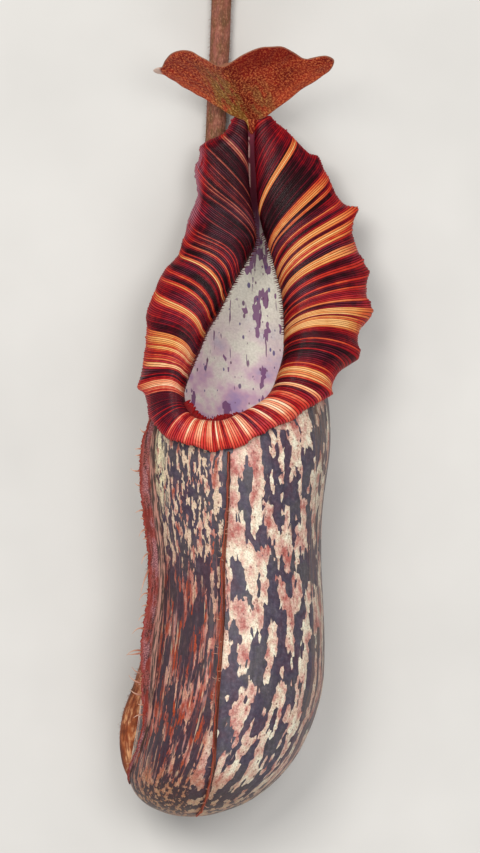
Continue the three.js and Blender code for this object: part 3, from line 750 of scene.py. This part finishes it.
def grow_wing(name, node, wing, skin, wave, seed):
    draw = np.random.default_rng(seed)
    t = np.linspace(0, 1, WING_STATIONS)
    root, out, round_wall, run, height = wing_frame(wing, t)
    length = line_length(root)
    ripple = sum(np.sin(length * k / MM + draw.uniform(0, 6.28)) for k in (0.5, 0.83, 1.37)) / 3
    frayed = sum(np.sin(length * k / MM + draw.uniform(0, 6.28)) for k in (1.9, 3.1, 4.7, 7.3)) / 4
    height = height * (1 + 0.07 * frayed)
    rises = np.concatenate([WING_SECTION, WING_SECTION[-2::-1] * [1, -1]])
    share, half = rises[:, 0], rises[:, 1] * MM * smooth(wing, t)[:, 3:]
    rise = np.where(share < 0, share * MM, share * height[:, None])
    fade = ease(0, 0.05, t)[:, None] * ease(1, 0.95, t)[:, None]
    sway = wave * MM * ripple[:, None] * np.clip(share, 0, 1) ** 1.5 * fade
    grid = (root[:, None] + out[:, None] * rise[..., None]
            + round_wall[:, None] * (sway + half)[..., None])
    rings, sides = grid.shape[:2]
    place = np.stack(np.broadcast_arrays(rise, length[:, None], np.sign(half) * MM), -1)
    to_edge = np.broadcast_to(np.clip(share, 0, 1), grid.shape[:2])
    blade = grow(name, grid, tube(rings, sides), "wing_skin", [skin],
                 wing_place=place, to_edge=to_edge)
    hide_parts(node)
    edge = root + out * (0.9 * height)[:, None]
    edge = edge + round_wall * (wave * MM * ripple * fade[:, 0])[:, None]
    return edge, out, round_wall, run


left_skin = wing_skin("wing_red", (106, 54, 50), (132, 38, 24), (138, 98, 86))
edge, out, round_wall, run = grow_wing("wing_blade_left", "wing_left", WING_LEFT, left_skin, 0.5, 3)
at = np.interp(FRINGE_LEFT[:, 0] * MM, edge[:, 1], np.arange(len(edge))).astype(int)
draw = np.random.default_rng(8)
ways = unit(out[at] + 0.3 * draw.normal(size=(len(at), 1)) * round_wall[at]
            + run[at] * FRINGE_LEFT[:, 3:])
fringe_tan = hair_skin("fringe_tan", (150, 88, 70), (200, 160, 138))
hairs("wing_fringe_left", edge[at], ways, FRINGE_LEFT[:, 1] * MM * 1.05, 0.34 * MM,
      run[at] * 0.8 * FRINGE_LEFT[:, 2:3], "wing_skin", fringe_tan, 7, 12)
at = draw.integers(60, len(edge) - 60, 60)
ways = unit(out[at] + 0.5 * draw.normal(size=(len(at), 1)) * round_wall[at]
            + 0.4 * draw.normal(size=(len(at), 1)) * run[at])
hairs("wing_down_left", edge[at] + 0.05 * MM * out[at], ways, draw.uniform(0.6, 1.5, len(at)) * MM,
      0.1 * MM, run[at] * draw.uniform(-0.5, 0.5, (len(at), 1)), "wing_skin", fringe_tan, 5, 6)

front_skin = wing_skin("wing_rust", (146, 76, 48), (166, 66, 42), (132, 66, 48))
edge, out, round_wall, run = grow_wing(
    "wing_blade_front", "wing_front", WING_FRONT, front_skin, 0.35, 4)
at = draw.integers(40, len(edge) - 120, 26)
ways = unit(out[at] * draw.uniform(0.2, 0.8, (len(at), 1))
            + draw.choice([-1, 1], (len(at), 1)) * round_wall[at])
hairs("wing_fringe_front", edge[at], ways, draw.uniform(0.8, 2.1, len(at)) * MM, 0.13 * MM,
      run[at] * draw.uniform(-0.6, 0.6, (len(at), 1)), "wing_skin", fringe_tan, 6, 9)


# The collar is the hard, waxy rim of the mouth, rolled out and down over the cup. Hundreds of rounded
# ribs run across it, striped in cream, orange, red and purple-black as they grew, and each pair ends in
# a small tooth over the inside. Its thin outer edge is drawn out in points where the ribs gather.
COLLAR_RIBS = 390
RIB_COLUMNS = 5
RIB_RISE = 0.25 * MM
TOOTH = 0.5 * MM
RIBS_PER_TOOTH = 2
TEETH_FROM = 0.13, 0.2  # how far round from the neck the ribs' teeth begin and are full
SLANT = np.array([
    [0, 0], [0.03, 0.035], [0.08, 0.075], [0.2, 0.085], [0.28, 0.07], [0.34, 0.045], [0.4, 0.03],
    [0.46, 0], [0.56, 0], [0.63, 0.012], [0.68, 0], [0.74, -0.028], [0.8, -0.04], [0.88, -0.052],
    [0.95, -0.05], [1, 0],
])  # how far round the mouth the ribs lean on their way in, from the outer to the inner edge
MARGIN = np.array([
    [0.01, 0], [0.03, -1], [0.06, -0.6], [0.07, -1.2], [0.083, -1], [0.09, 0.1], [0.105, -0.5],
    [0.125, -0.9], [0.145, 0.2], [0.165, 0.6], [0.178, 0.8], [0.198, -0.2], [0.22, 1], [0.235, 1],
    [0.258, 0.2], [0.287, 0.7], [0.303, -0.4], [0.33, -0.7], [0.342, 0], [0.37, 0.5], [0.378, -0.2],
    [0.39, -1.1], [0.405, -0.8], [0.42, 0.3], [0.44, 0], [0.6, -0.2], [0.615, -0.8], [0.626, -1.2],
    [0.633, -1.7], [0.658, -2.4], [0.668, -1.7], [0.678, 0.9], [0.686, -1], [0.7, -0.8], [0.715, 0.1],
    [0.729, 2.3], [0.738, -0.8], [0.743, -0.9], [0.755, 0.1], [0.769, 1.9], [0.783, -1.9],
    [0.795, -0.7], [0.814, 0], [0.832, 2.4], [0.842, 0], [0.86, -0.7], [0.89, 0], [0.906, 1.4],
    [0.914, -0.3], [0.93, -0.8], [0.96, -0.5], [1, 0],
]) * [1, MM]  # place and reach of the margin's points and of the hollows between them
GROUND = np.array([
    [0, 0.32], [0.015, 0.14], [0.05, 0.1], [0.1, 0.08], [0.14, 0.06], [0.19, 0.1], [0.215, 0.05],
    [0.245, 0.3], [0.29, 0.1], [0.303, 0.14], [0.315, 0.48], [0.35, 0.5], [0.358, 0.2], [0.368, 0.26],
    [0.39, 0.2], [0.405, 0.08], [0.44, 0.1], [0.455, 0.36], [0.5, 0.42], [0.58, 0.3], [0.63, 0.26],
    [0.655, 0.14], [0.68, 0.19], [0.7, 0.2], [0.74, 0.22], [0.8, 0.14], [0.85, 0.16], [0.9, 0.02],
    [0.93, 0.04], [0.955, 0.13], [0.985, 0.14], [1, 0.3],
])  # colour between the bold stripes, from 0 purple-black over red to 1 cream
UNEVEN = np.array([
    [0, 0.08], [0.1, 0.14], [0.2, 0.16], [0.34, 0.14], [0.42, 0.16], [0.58, 0.16], [0.66, 0.13],
    [1, 0.1],
])  # how far single ribs stray from that colour
STRIPES = np.array([
    [0.028, 0.036, 0.42], [0.09, 0.097, 0.46], [0.155, 0.158, 0.5], [0.163, 0.168, 0.6],
    [0.172, 0.176, 0.6], [0.19, 0.197, 0.72], [0.218, 0.2225, 0.62], [0.231, 0.236, 0.62],
    [0.256, 0.268, 0.76], [0.305, 0.318, 0.72], [0.322, 0.332, 0.66], [0.338, 0.343, 0.6],
    [0.345, 0.352, 0.72], [0.37, 0.384, 0.82], [0.384, 0.392, 0.62], [0.465, 0.483, 0.68],
    [0.487, 0.508, 0.7], [0.511, 0.52, 0.78], [0.527, 0.537, 0.84], [0.543, 0.55, 0.82],
    [0.568, 0.573, 0.8], [0.58, 0.59, 0.78], [0.6, 0.605, 0.62], [0.612, 0.616, 0.62],
    [0.625, 0.639, 0.8], [0.642, 0.646, 0.62], [0.681, 0.684, 0.6], [0.702, 0.719, 0.8],
    [0.722, 0.733, 0.82], [0.742, 0.744, 0.6], [0.755, 0.758, 0.6], [0.763, 0.765, 0.55],
    [0.777, 0.783, 0.45], [0.794, 0.804, 0.68], [0.813, 0.827, 0.76], [0.831, 0.841, 0.8],
    [0.848, 0.854, 0.62], [0.87, 0.874, 0.6], [0.879, 0.891, 0.7], [0.939, 0.9475, 0.86],
])  # from, to and colour of the bold stripes along the margin
NECK_RISE = 1.1 * MM  # how far the collar's two ends are drawn up the neck
MOUTH_LENGTH = 0.3
LIP_TEETH = 120
LIP_TALL = np.array([
    [0.437, 0.8], [0.45, 0.95], [0.475, 1], [0.497, 0.7], [0.52, 1.1], [0.545, 1.05], [0.562, 0.5],
])  # place round the mouth, and share of full length that the front lip's teeth have there
LIP_ROOTS, EDGE_ROOTS = 0.21, 0.11  # how far across the collar both kinds of teeth stand
EDGE_TOOTHED = (0.13, 0.38), (0.7, 0.87)  # stretches round the mouth with teeth along the edge
TOOTH_PITCH = 0.72 * MM


def read(table, place):
    """What a table of places and values says at a place, on straight lines between its rows."""
    return np.interp(place, table[:, 0], table[:, 1])


def striped_gloss():
    finish = Finish("striped_gloss", roughness=0.4, Coat_Weight=0.1, Coat_Roughness=0.2,
                    Specular_IOR_Level=0.08)
    rib_place = finish.mark("rib_place", "Vector")
    crest = finish.mark("crest")
    round_mouth, outward, _ = finish.parts(rib_place)

    def round_from(low, high):
        return round_mouth, MOUTH_LENGTH * low, MOUTH_LENGTH * high

    fine = finish.noise(rib_place, 800, 3, 0.6, drawn=0.015)
    blot = finish.noise(rib_place, 120, 3, 0.6, drawn=0.1)
    level = finish.sum("MULTIPLY_ADD", fine, 0.26, finish.mark("stripe"))
    level = finish.sum("MULTIPLY_ADD", blot, 0.24, level)
    level = finish.sum("SUBTRACT", level, 0.25)
    margin = finish.step(finish.sum("MULTIPLY_ADD", blot, 0.3, outward), 0.74, 1.06)
    level = finish.sum("MULTIPLY_ADD", margin, finish.sum("MULTIPLY_ADD", level, -0.74, 0.31), level)
    gold = finish.ramp(level, (0, (34, 4, 10)), (0.16, (78, 8, 24)), (0.34, (146, 14, 24)),
                       (0.5, (190, 52, 34)), (0.64, (212, 118, 62)), (0.8, (224, 154, 86)),
                       (0.96, (236, 184, 120)))
    rose = finish.ramp(level, (0, (60, 10, 28)), (0.16, (96, 12, 28)), (0.34, (156, 16, 24)),
                       (0.5, (204, 60, 46)), (0.64, (228, 124, 92)), (0.8, (242, 174, 134)),
                       (0.96, (250, 214, 180)))
    olive = finish.ramp(level, (0, (30, 10, 16)), (0.2, (58, 14, 24)), (0.36, (110, 46, 38)),
                        (0.5, (160, 104, 84)), (0.8, (198, 150, 124)))
    colour = finish.lay(gold, rose, round_from(0.34, 0.42), round_from(0.66, 0.58))
    colour = finish.lay(colour, olive, round_from(0.24, 0.16), (margin, 0.6, 0), 0.75)
    colour = finish.lay(colour, (150, 70, 60), (outward, 0.45, 0.05), 0.6, way="MULTIPLY")
    # Painted shade: the grooves between the ribs are darkened.
    colour = finish.lay(colour, (104, 36, 40), (crest, 0.7, 0.08), 0.92, way="MULTIPLY")
    # Painted sheen: lilac highlights screened onto the rib crests in patches, kept off the stretch of
    # the mouth nearest the neck on the right.
    painted_sheen = finish.noise(rib_place, 75, drawn=0.02)
    colour = finish.lay(colour, (92, 48, 66), (painted_sheen, 0.46, 0.62), (crest, 0.7, 1),
                        round_from(0.86, 0.82), 0.7, way="SCREEN")
    colour = finish.coats(
        colour,
        # Painted highlight: a pale pink glint along the ribbed outer margin beside the neck on the
        # right.
        ((196, 140, 150), round_from(0.84, 0.9), (outward, 0.86, 0.97), (crest, 0.4, 0.9), 0.6),
        # Painted highlight: a pale lilac glint along the ribbed outer margin on the upper left.
        ((158, 122, 138), round_from(0.05, 0.08), (outward, 0.75, 0.87), round_from(0.19, 0.15),
         (blot, 0.36, 0.5), (crest, 0.1, 0.9), 0.7),
        ((84, 16, 26), (outward, 0.07, 0.03), 0.8),
    )
    return finish.coat(colour)


draw = np.random.default_rng(17)
rib_widths = draw.uniform(0.8, 1.2, COLLAR_RIBS)
rib_starts = np.concatenate([[0], np.cumsum(rib_widths)]) / rib_widths.sum()
rib_rise = draw.uniform(0.6, 1.15, COLLAR_RIBS)
rib_tooth = np.repeat(draw.uniform(0.75, 1.2, COLLAR_RIBS // RIBS_PER_TOOTH), RIBS_PER_TOOTH)
rib_reach = draw.normal(0, 0.22, COLLAR_RIBS) * MM
columns = COLLAR_RIBS * RIB_COLUMNS + 1
rib_of = np.minimum(np.arange(columns) // RIB_COLUMNS, COLLAR_RIBS - 1)
phase = np.arange(columns) / RIB_COLUMNS - rib_of
place = rib_starts[rib_of] + phase * rib_widths[rib_of] / rib_widths.sum()
crest = np.sin(np.pi * np.clip(phase, 0, 1))

upper = np.concatenate([[0, 0.03, 0.07, 0.12, 0.17], np.linspace(0.22, 0.88, 22),
                        [0.91, 0.935, 0.955, 0.97, 0.985, 1]])
lower = np.array([0.97, 0.9, 0.8, 0.65, 0.5, 0.36, 0.24, 0.14, 0.07, 0.03])
across = np.concatenate([upper, lower])[:, None]
u = np.clip(place + read(SLANT, place) * np.clip((0.9 - across) / 0.7, 0, 1), 0, 1)
v = across * np.ones(columns)
on_top = (np.arange(len(across)) < len(upper))[:, None]
collar_grid = np.where(on_top[..., None], collar_point(u, v), collar_under(u, v))
_, outwards, lift, _, _, _ = collar_row(u)
normal = collar_normal(u, v)
rise = RIB_RISE * rib_rise[rib_of] * (crest**0.85 - 0.5)
collar_grid += normal * (rise * on_top * ease(1.02, 0.93, across))[..., None]
reach = rib_reach[rib_of] * ease(0.85, 1, across) * crest
reach = reach + read(MARGIN, place) * ease(0.45, 1, across)
collar_grid += outwards * reach[..., None]
billow = sum(size * np.sin(2 * np.pi * k * place + draw.uniform(0, 6.28))
             for k, size in ((14, 0.5), (23, 0.4), (37, 0.25), (61, 0.12)))
at_neck = ease(0.02, 0.1, place) * ease(0.98, 0.9, place)
collar_grid += lift * (billow * MM * at_neck * ease(0.6, 1, across))[..., None]
from_tip = np.abs((rib_of + phase) / RIBS_PER_TOOTH % 1 - 0.5) * 2
teeth = TOOTH * np.clip(1 - 1.2 * from_tip, 0, 1) * rib_tooth[rib_of]
teeth *= ease(*TEETH_FROM, np.minimum(place, 1 - place))
collar_grid -= outwards * (teeth * ease(0.2, 0.03, across))[..., None]
collar_grid[..., 1] += NECK_RISE * (ease(0.02, 0, place) + ease(0.982, 1, place))

rib_from, rib_to = rib_starts[:-1], rib_starts[1:]
rib_middle = (rib_from + rib_to) / 2
rib_tone = read(GROUND, rib_middle)
for start, end, tone in STRIPES:
    overlap = np.minimum(end, rib_to) - np.maximum(start, rib_from)
    covered = np.clip(overlap / (rib_to - rib_from), 0, 1)
    rib_tone = rib_tone * (1 - covered) + tone * covered
rib_tone += read(UNEVEN, rib_middle) * draw.normal(size=COLLAR_RIBS)
stripe = np.broadcast_to(rib_tone[rib_of], v.shape)
rib_place = np.stack([u * MOUTH_LENGTH, v, 0 * u], -1)
section_starts = [k * columns for k in range(len(across))]
collar_faces = weave(len(across), columns, round_rows=True)
collar_faces += [section_starts[::-1], [start + columns - 1 for start in section_starts]]
collar = grow("collar_ribbed", collar_grid, collar_faces, "collar_gloss", [striped_gloss()],
              rib_place=rib_place, stripe=stripe, crest=np.where(on_top, crest, 1.0))
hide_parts("peristome")

draw = np.random.default_rng(23)
at = draw.uniform(LIP_TALL[0, 0], LIP_TALL[-1, 0], LIP_TEETH)
_, outwards, lift, _, _, _ = collar_row(at)
ways = unit(-outwards + 0.5 * lift + 0.18 * draw.normal(size=outwards.shape))
tall = read(LIP_TALL, at)
tooth_red = hair_skin("tooth_red", (84, 6, 10), (136, 14, 16))
hairs("collar_lip_teeth", collar_point(at, np.full(LIP_TEETH, LIP_ROOTS)) - 0.5 * MM * lift, ways,
      draw.uniform(2.4, 3.3, LIP_TEETH) * MM * tall, 0.85 * MM, -0.2 * lift, "collar_gloss",
      tooth_red, 8, 9)

places = np.linspace(0, 1, 3001)
along_edge = line_length(collar_point(places, np.full(places.shape, EDGE_ROOTS)))
at = np.interp(np.arange(0, along_edge[-1], TOOTH_PITCH), along_edge, places)
at = at[np.any([(at > start) & (at < end) for start, end in EDGE_TOOTHED], axis=0)]
_, outwards, lift, _, _, _ = collar_row(at)
ways = unit(-outwards + 0.12 * draw.normal(size=outwards.shape))
tooth_dark = hair_skin("tooth_dark", (46, 8, 18), (92, 30, 36))
hairs("collar_edge_teeth", collar_point(at, np.full(len(at), EDGE_ROOTS)) + 0.5 * MM * outwards, ways,
      draw.uniform(1.5, 2.1, len(at)) * MM, 0.26 * MM, 0 * lift, "collar_gloss", tooth_dark, 6, 5)


# The lid is a small leathery leaf held over the mouth on a short stalk, folded up along its midrib into
# two lobes. Its underside is orange-red with fine golden speckles, and its edge is thin and pale.
LID_OUTLINE = np.array([
    [1.8, -0.2], [4.9, 1.3], [9.2, 4.5], [14.9, 8.7], [20.9, 14.5], [25.5, 19], [28.6, 22.5],
    [30.8, 27.2], [30.6, 29.6], [29.2, 31.4], [26.6, 30.8], [24.2, 29.9], [22.2, 30.5], [20.5, 32.6],
    [18.5, 36.3], [16, 38.6], [12.6, 39.6], [9, 39.9], [5.4, 39.2], [1.6, 38], [-0.8, 36.9],
    [-4.5, 35.8], [-7.5, 36.5], [-10.7, 38], [-13.8, 38], [-17.2, 35.6], [-20.1, 30.8],
    [-22.2, 26.4], [-23.7, 26], [-25.2, 24.4], [-24.6, 22.5], [-22.3, 21.3], [-17.7, 13.6],
    [-12.6, 8.2], [-7.1, 4], [-4.4, 1.6], [-1.8, -0.2],
])  # in its own plane: to the right of the midrib, forward of the stalk
LID_BASE = np.array([4.4, 168.2, 12])
LID_TURN, LID_TILT = math.radians(13), math.radians(22)
LID_FOLD, LID_FLANK, LID_CUP = 6.5, 9, 6  # rise of its sides in mm, how far out and how far forward
LID_THICK = 1.0
LID_KEEL = 0.9
LID_MIDDLE = np.array([0, 20])
LID_AROUND = 420
LID_RINGS = 64
LID_STALK = MM * np.array([
    [4.9, 163.6, 9.6, 0.4],
    [4.8, 165, 10.3, 1],
    [4.7, 166.4, 11, 1.5],
    [4.6, 167.8, 11.7, 2.1],
    [4.5, 169.2, 12.3, 2.7],
    [4.4, 170.3, 12.9, 1.4],
])  # x, y, z and half width
STALK_RINGS, STALK_SIDES = 24, 32
STALK_FLAT = 0.32


def lid_point(p, q):
    """The lid's middle layer: p to the right of the midrib and q forward of the stalk, in mm."""
    reach = np.maximum(q, 0) / (np.maximum(q, 0) + LID_CUP)
    fold = LID_FOLD * reach * (1 - np.exp(-(np.abs(p) / LID_FLANK) ** 1.6))
    forward = q * math.cos(LID_TILT) - fold * math.sin(LID_TILT)
    rise = q * math.sin(LID_TILT) + fold * math.cos(LID_TILT)
    return MM * np.stack([
        LID_BASE[0] + p * math.cos(LID_TURN) - forward * math.sin(LID_TURN),
        LID_BASE[1] + rise,
        LID_BASE[2] + p * math.sin(LID_TURN) + forward * math.cos(LID_TURN),
    ], -1)


def lid_normal(p, q):
    along = lid_point(p, q + 0.2) - lid_point(p, q - 0.2)
    sideways = lid_point(p + 0.2, q) - lid_point(p - 0.2, q)
    return unit(np.cross(along, sideways))


def lid_paint():
    finish = Finish("lid_paint", roughness=0.6, Specular_IOR_Level=0.1)
    place = finish.mark("lid_place", "Vector")
    to_edge = finish.mark("to_edge")
    right, forward, face = finish.parts(place)

    def across(low, high):
        return right, low * MM, high * MM

    def along(low, high):
        return forward, low * MM, high * MM

    speckle = finish.noise(place, 1700, 4, 0.75, drawn=0.6)
    slow = finish.noise(place, 160, 3, 0.55)
    streaky = finish.noise(place, 420, 3, 0.6, drawn=0.25)
    crown = finish.both(across(-2, 5), along(26, 34), across(26, 20), 0.75)
    green = finish.both(across(-12, -6), across(2, -1), along(38, 20), (streaky, 0.38, 0.54))
    patch = finish.both(across(1.2, 2.8), across(11, 6.5), along(30, 12), (streaky, 0.4, 0.56), 0.75)
    gold = finish.lay((220, 124, 74), (208, 160, 92), finish.sum("MAXIMUM", green, patch))
    top = finish.ramp(slow, (0.35, (104, 66, 40)), (0.65, (146, 78, 50)))
    colour = finish.coats(
        finish.ramp(slow, (0.38, (116, 18, 12)), (0.5, (138, 30, 20)), (0.62, (158, 48, 30))),
        ((112, 12, 10), crown),
        ((178, 68, 44), (to_edge, 0.55, 0.9), along(27, 20), 0.75),
        ((128, 92, 34), green, 0.8),
        ((100, 12, 12), across(-0.8, 0.3), across(4, 1.8), 0.75),
        ((134, 84, 48), patch),
        (gold, (speckle, 0.49, 0.59), finish.sum("MULTIPLY_ADD", crown, -0.6, 0.75)),
        ((92, 14, 10), (speckle, 0.48, 0.36), 0.7),
        (finish.lay(top, (172, 122, 74), (speckle, 0.5, 0.65)), (face, 0, 0.2 * MM)),
        ((140, 92, 72), (to_edge, 0.98, 0.995), 0.8),
        ((206, 184, 170), across(-22.4, -23.4), 0.85),
    )
    return finish.coat(colour, finish.relief(speckle, 0.1 * MM))


closed = np.vstack([LID_OUTLINE, LID_OUTLINE[:1]])
outline = smooth(closed, np.arange(LID_AROUND) / LID_AROUND)
shares = 1 - (1 - np.linspace(0, 1, LID_RINGS)) ** 1.25
thin = 0.5 * LID_THICK * (0.15 + 0.85 * np.sqrt(np.clip(1 - shares**8, 0, 1)))
flat = LID_MIDDLE + (outline - LID_MIDDLE) * shares[:, None, None]
p, q = flat[..., 0], flat[..., 1]
normal, middle = lid_normal(p, q), lid_point(p, q)
veins = 0.14 * np.cos(26 * np.arctan2(p, q + 2)) ** 6
veins *= ease(0.97, 0.85, shares)[:, None]
veins *= ease(0.1, 0.4, shares)[:, None]
crumple = 0.3 * np.sin(0.33 * p + 0.21 * q) * np.sin(0.27 * q - 0.1 * p)
crumple += 0.1 * np.sin(0.9 * p - 0.7 * q)
middle = middle + normal * (crumple * ease(0.2, 1, shares)[:, None] * MM)[..., None]
keel = LID_KEEL * np.exp(-(p**2) / 2)
below = middle - normal * ((thin[:, None] - veins) * MM)[..., None]
above = middle + normal * ((thin[:, None] + keel - 0.4 * veins) * MM)[..., None]
lid_grid = np.concatenate([below, above[::-1]])
flat_place = np.stack([p, q, 0 * p], -1) * MM
lid_place = np.concatenate([flat_place, flat_place[::-1] + [0, 0, MM]])
to_edge = np.concatenate([shares, shares[::-1]])[:, None] * np.ones(LID_AROUND)
lid_red = lid_paint()
lid = grow("lid_leaf", lid_grid, weave(*lid_grid.shape[:2], round_columns=True), "lid_skin", [lid_red],
           lid_place=lid_place, to_edge=to_edge)
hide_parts("lid")

t = np.linspace(0, 1, STALK_RINGS)
line = smooth(LID_STALK, t)
run = np.broadcast_to([0.0, 1.0, 0.35], (STALK_RINGS, 3))
stalk = across_ring(line[:, :3], run, line[:, 3], STALK_SIDES)
stalk[..., 2] = line[:, None, 2] + (stalk[..., 2] - line[:, None, 2]) * STALK_FLAT
from_midrib = stalk[..., 0] - LID_BASE[0] * MM
stalk_place = np.stack(np.broadcast_arrays(from_midrib, t[:, None] * 5 * MM, 0), -1)
grow("lid_stalk", stalk, tube(STALK_RINGS, STALK_SIDES), "lid_skin", [lid_red],
     lid_place=stalk_place, to_edge=np.zeros(stalk.shape[:2]))


# The spur is a small pointed outgrowth of the leaf behind the lid's stalk, at the back of the neck.
SPUR_LENGTH = 7.5 * MM
SPUR_HEADING = unit(np.array([0.1, 0.78, -0.62]))
SPUR_RINGS, SPUR_SIDES = 40, 28
t = np.linspace(0, 1, SPUR_RINGS)
root = cup_grid[np.argmin(np.abs(outside - 1.96)), CUP_COLUMNS + NECK_COLUMNS // 2] + 0.9 * MM * UP
line = root + SPUR_HEADING * SPUR_LENGTH * t[:, None]
radius = (1.25 - 0.95 * t**1.2) * MM
radius[-3:] *= [0.9, 0.65, 0.2]
spur = across_ring(line, np.broadcast_to(SPUR_HEADING, line.shape), radius, SPUR_SIDES)
a = turns(SPUR_SIDES)
spur_place = MM * np.stack(np.broadcast_arrays(np.cos(a), t[:, None] * 8, np.sin(a)), -1)
grow("spur", spur, tube(SPUR_RINGS, SPUR_SIDES), "pitcher_wall", [front_skin],
     wing_place=spur_place, to_edge=np.zeros(spur.shape[:2]))


# The pitcher lies on a pale plain table top, under a broad soft light from above left and a weaker one
# from the right, and is seen from straight above.
def table_top():
    finish = Finish("table_top", roughness=0.7)
    grain = finish.noise(finish.put("TexCoord").outputs["Object"], 18, 3, 0.5)
    return finish.coat(finish.ramp(grain, (0.3, (196, 194, 190)), (0.7, (204, 202, 198))))


FLOOR_SIZE = 6
FLOOR_GAP = 0.05 * MM
bpy.ops.mesh.primitive_plane_add(size=FLOOR_SIZE, location=(0, 0.1, -FLOOR_GAP))
floor = bpy.context.object
floor.name = "table_top"
floor.data.materials.append(table_top())

SOFT_LIGHTS = (
    ("key", (-0.35, 0.5, 1.15), 0.5, 9.5, (1.0, 0.98, 0.95)),
    ("top", (0.32, 0.3, 1.3), 0.5, 6.5, (1.0, 0.99, 0.98)),
    ("low", (0.1, -0.7, 0.9), 0.6, 3.5, (0.97, 0.98, 1.0)),
)  # name, place, size, watts and colour
LIT_FROM_ALL_ROUND = 0.35
for name, place, size, power, colour in SOFT_LIGHTS:
    lamp = bpy.data.lights.new(name, "AREA")
    lamp.size, lamp.energy, lamp.color = size, power, colour
    light = bpy.data.objects.new(name, lamp)
    light.location = place
    aim = mathutils.Vector((0, 0.08, 0.03)) - light.location
    light.rotation_euler = aim.to_track_quat("-Z", "Y").to_euler()
    bpy.context.scene.collection.objects.link(light)

world = bpy.data.worlds.new("studio")
world.use_nodes = True
sky = world.node_tree.nodes["Background"].inputs
sky["Color"].default_value = (1, 1, 1, 1)
sky["Strength"].default_value = LIT_FROM_ALL_ROUND
bpy.context.scene.world = world
bpy.context.scene.view_settings.view_transform = "Standard"

CAMERA_PLACE = 1.2 * MM, 75.15 * MM, 1.5
lens = bpy.data.cameras.new("camera")
lens.sensor_width = 36
lens.lens = 207.1
camera = bpy.data.objects.new("camera", lens)
camera.location = CAMERA_PLACE
bpy.context.scene.collection.objects.link(camera)
bpy.context.scene.camera = camera
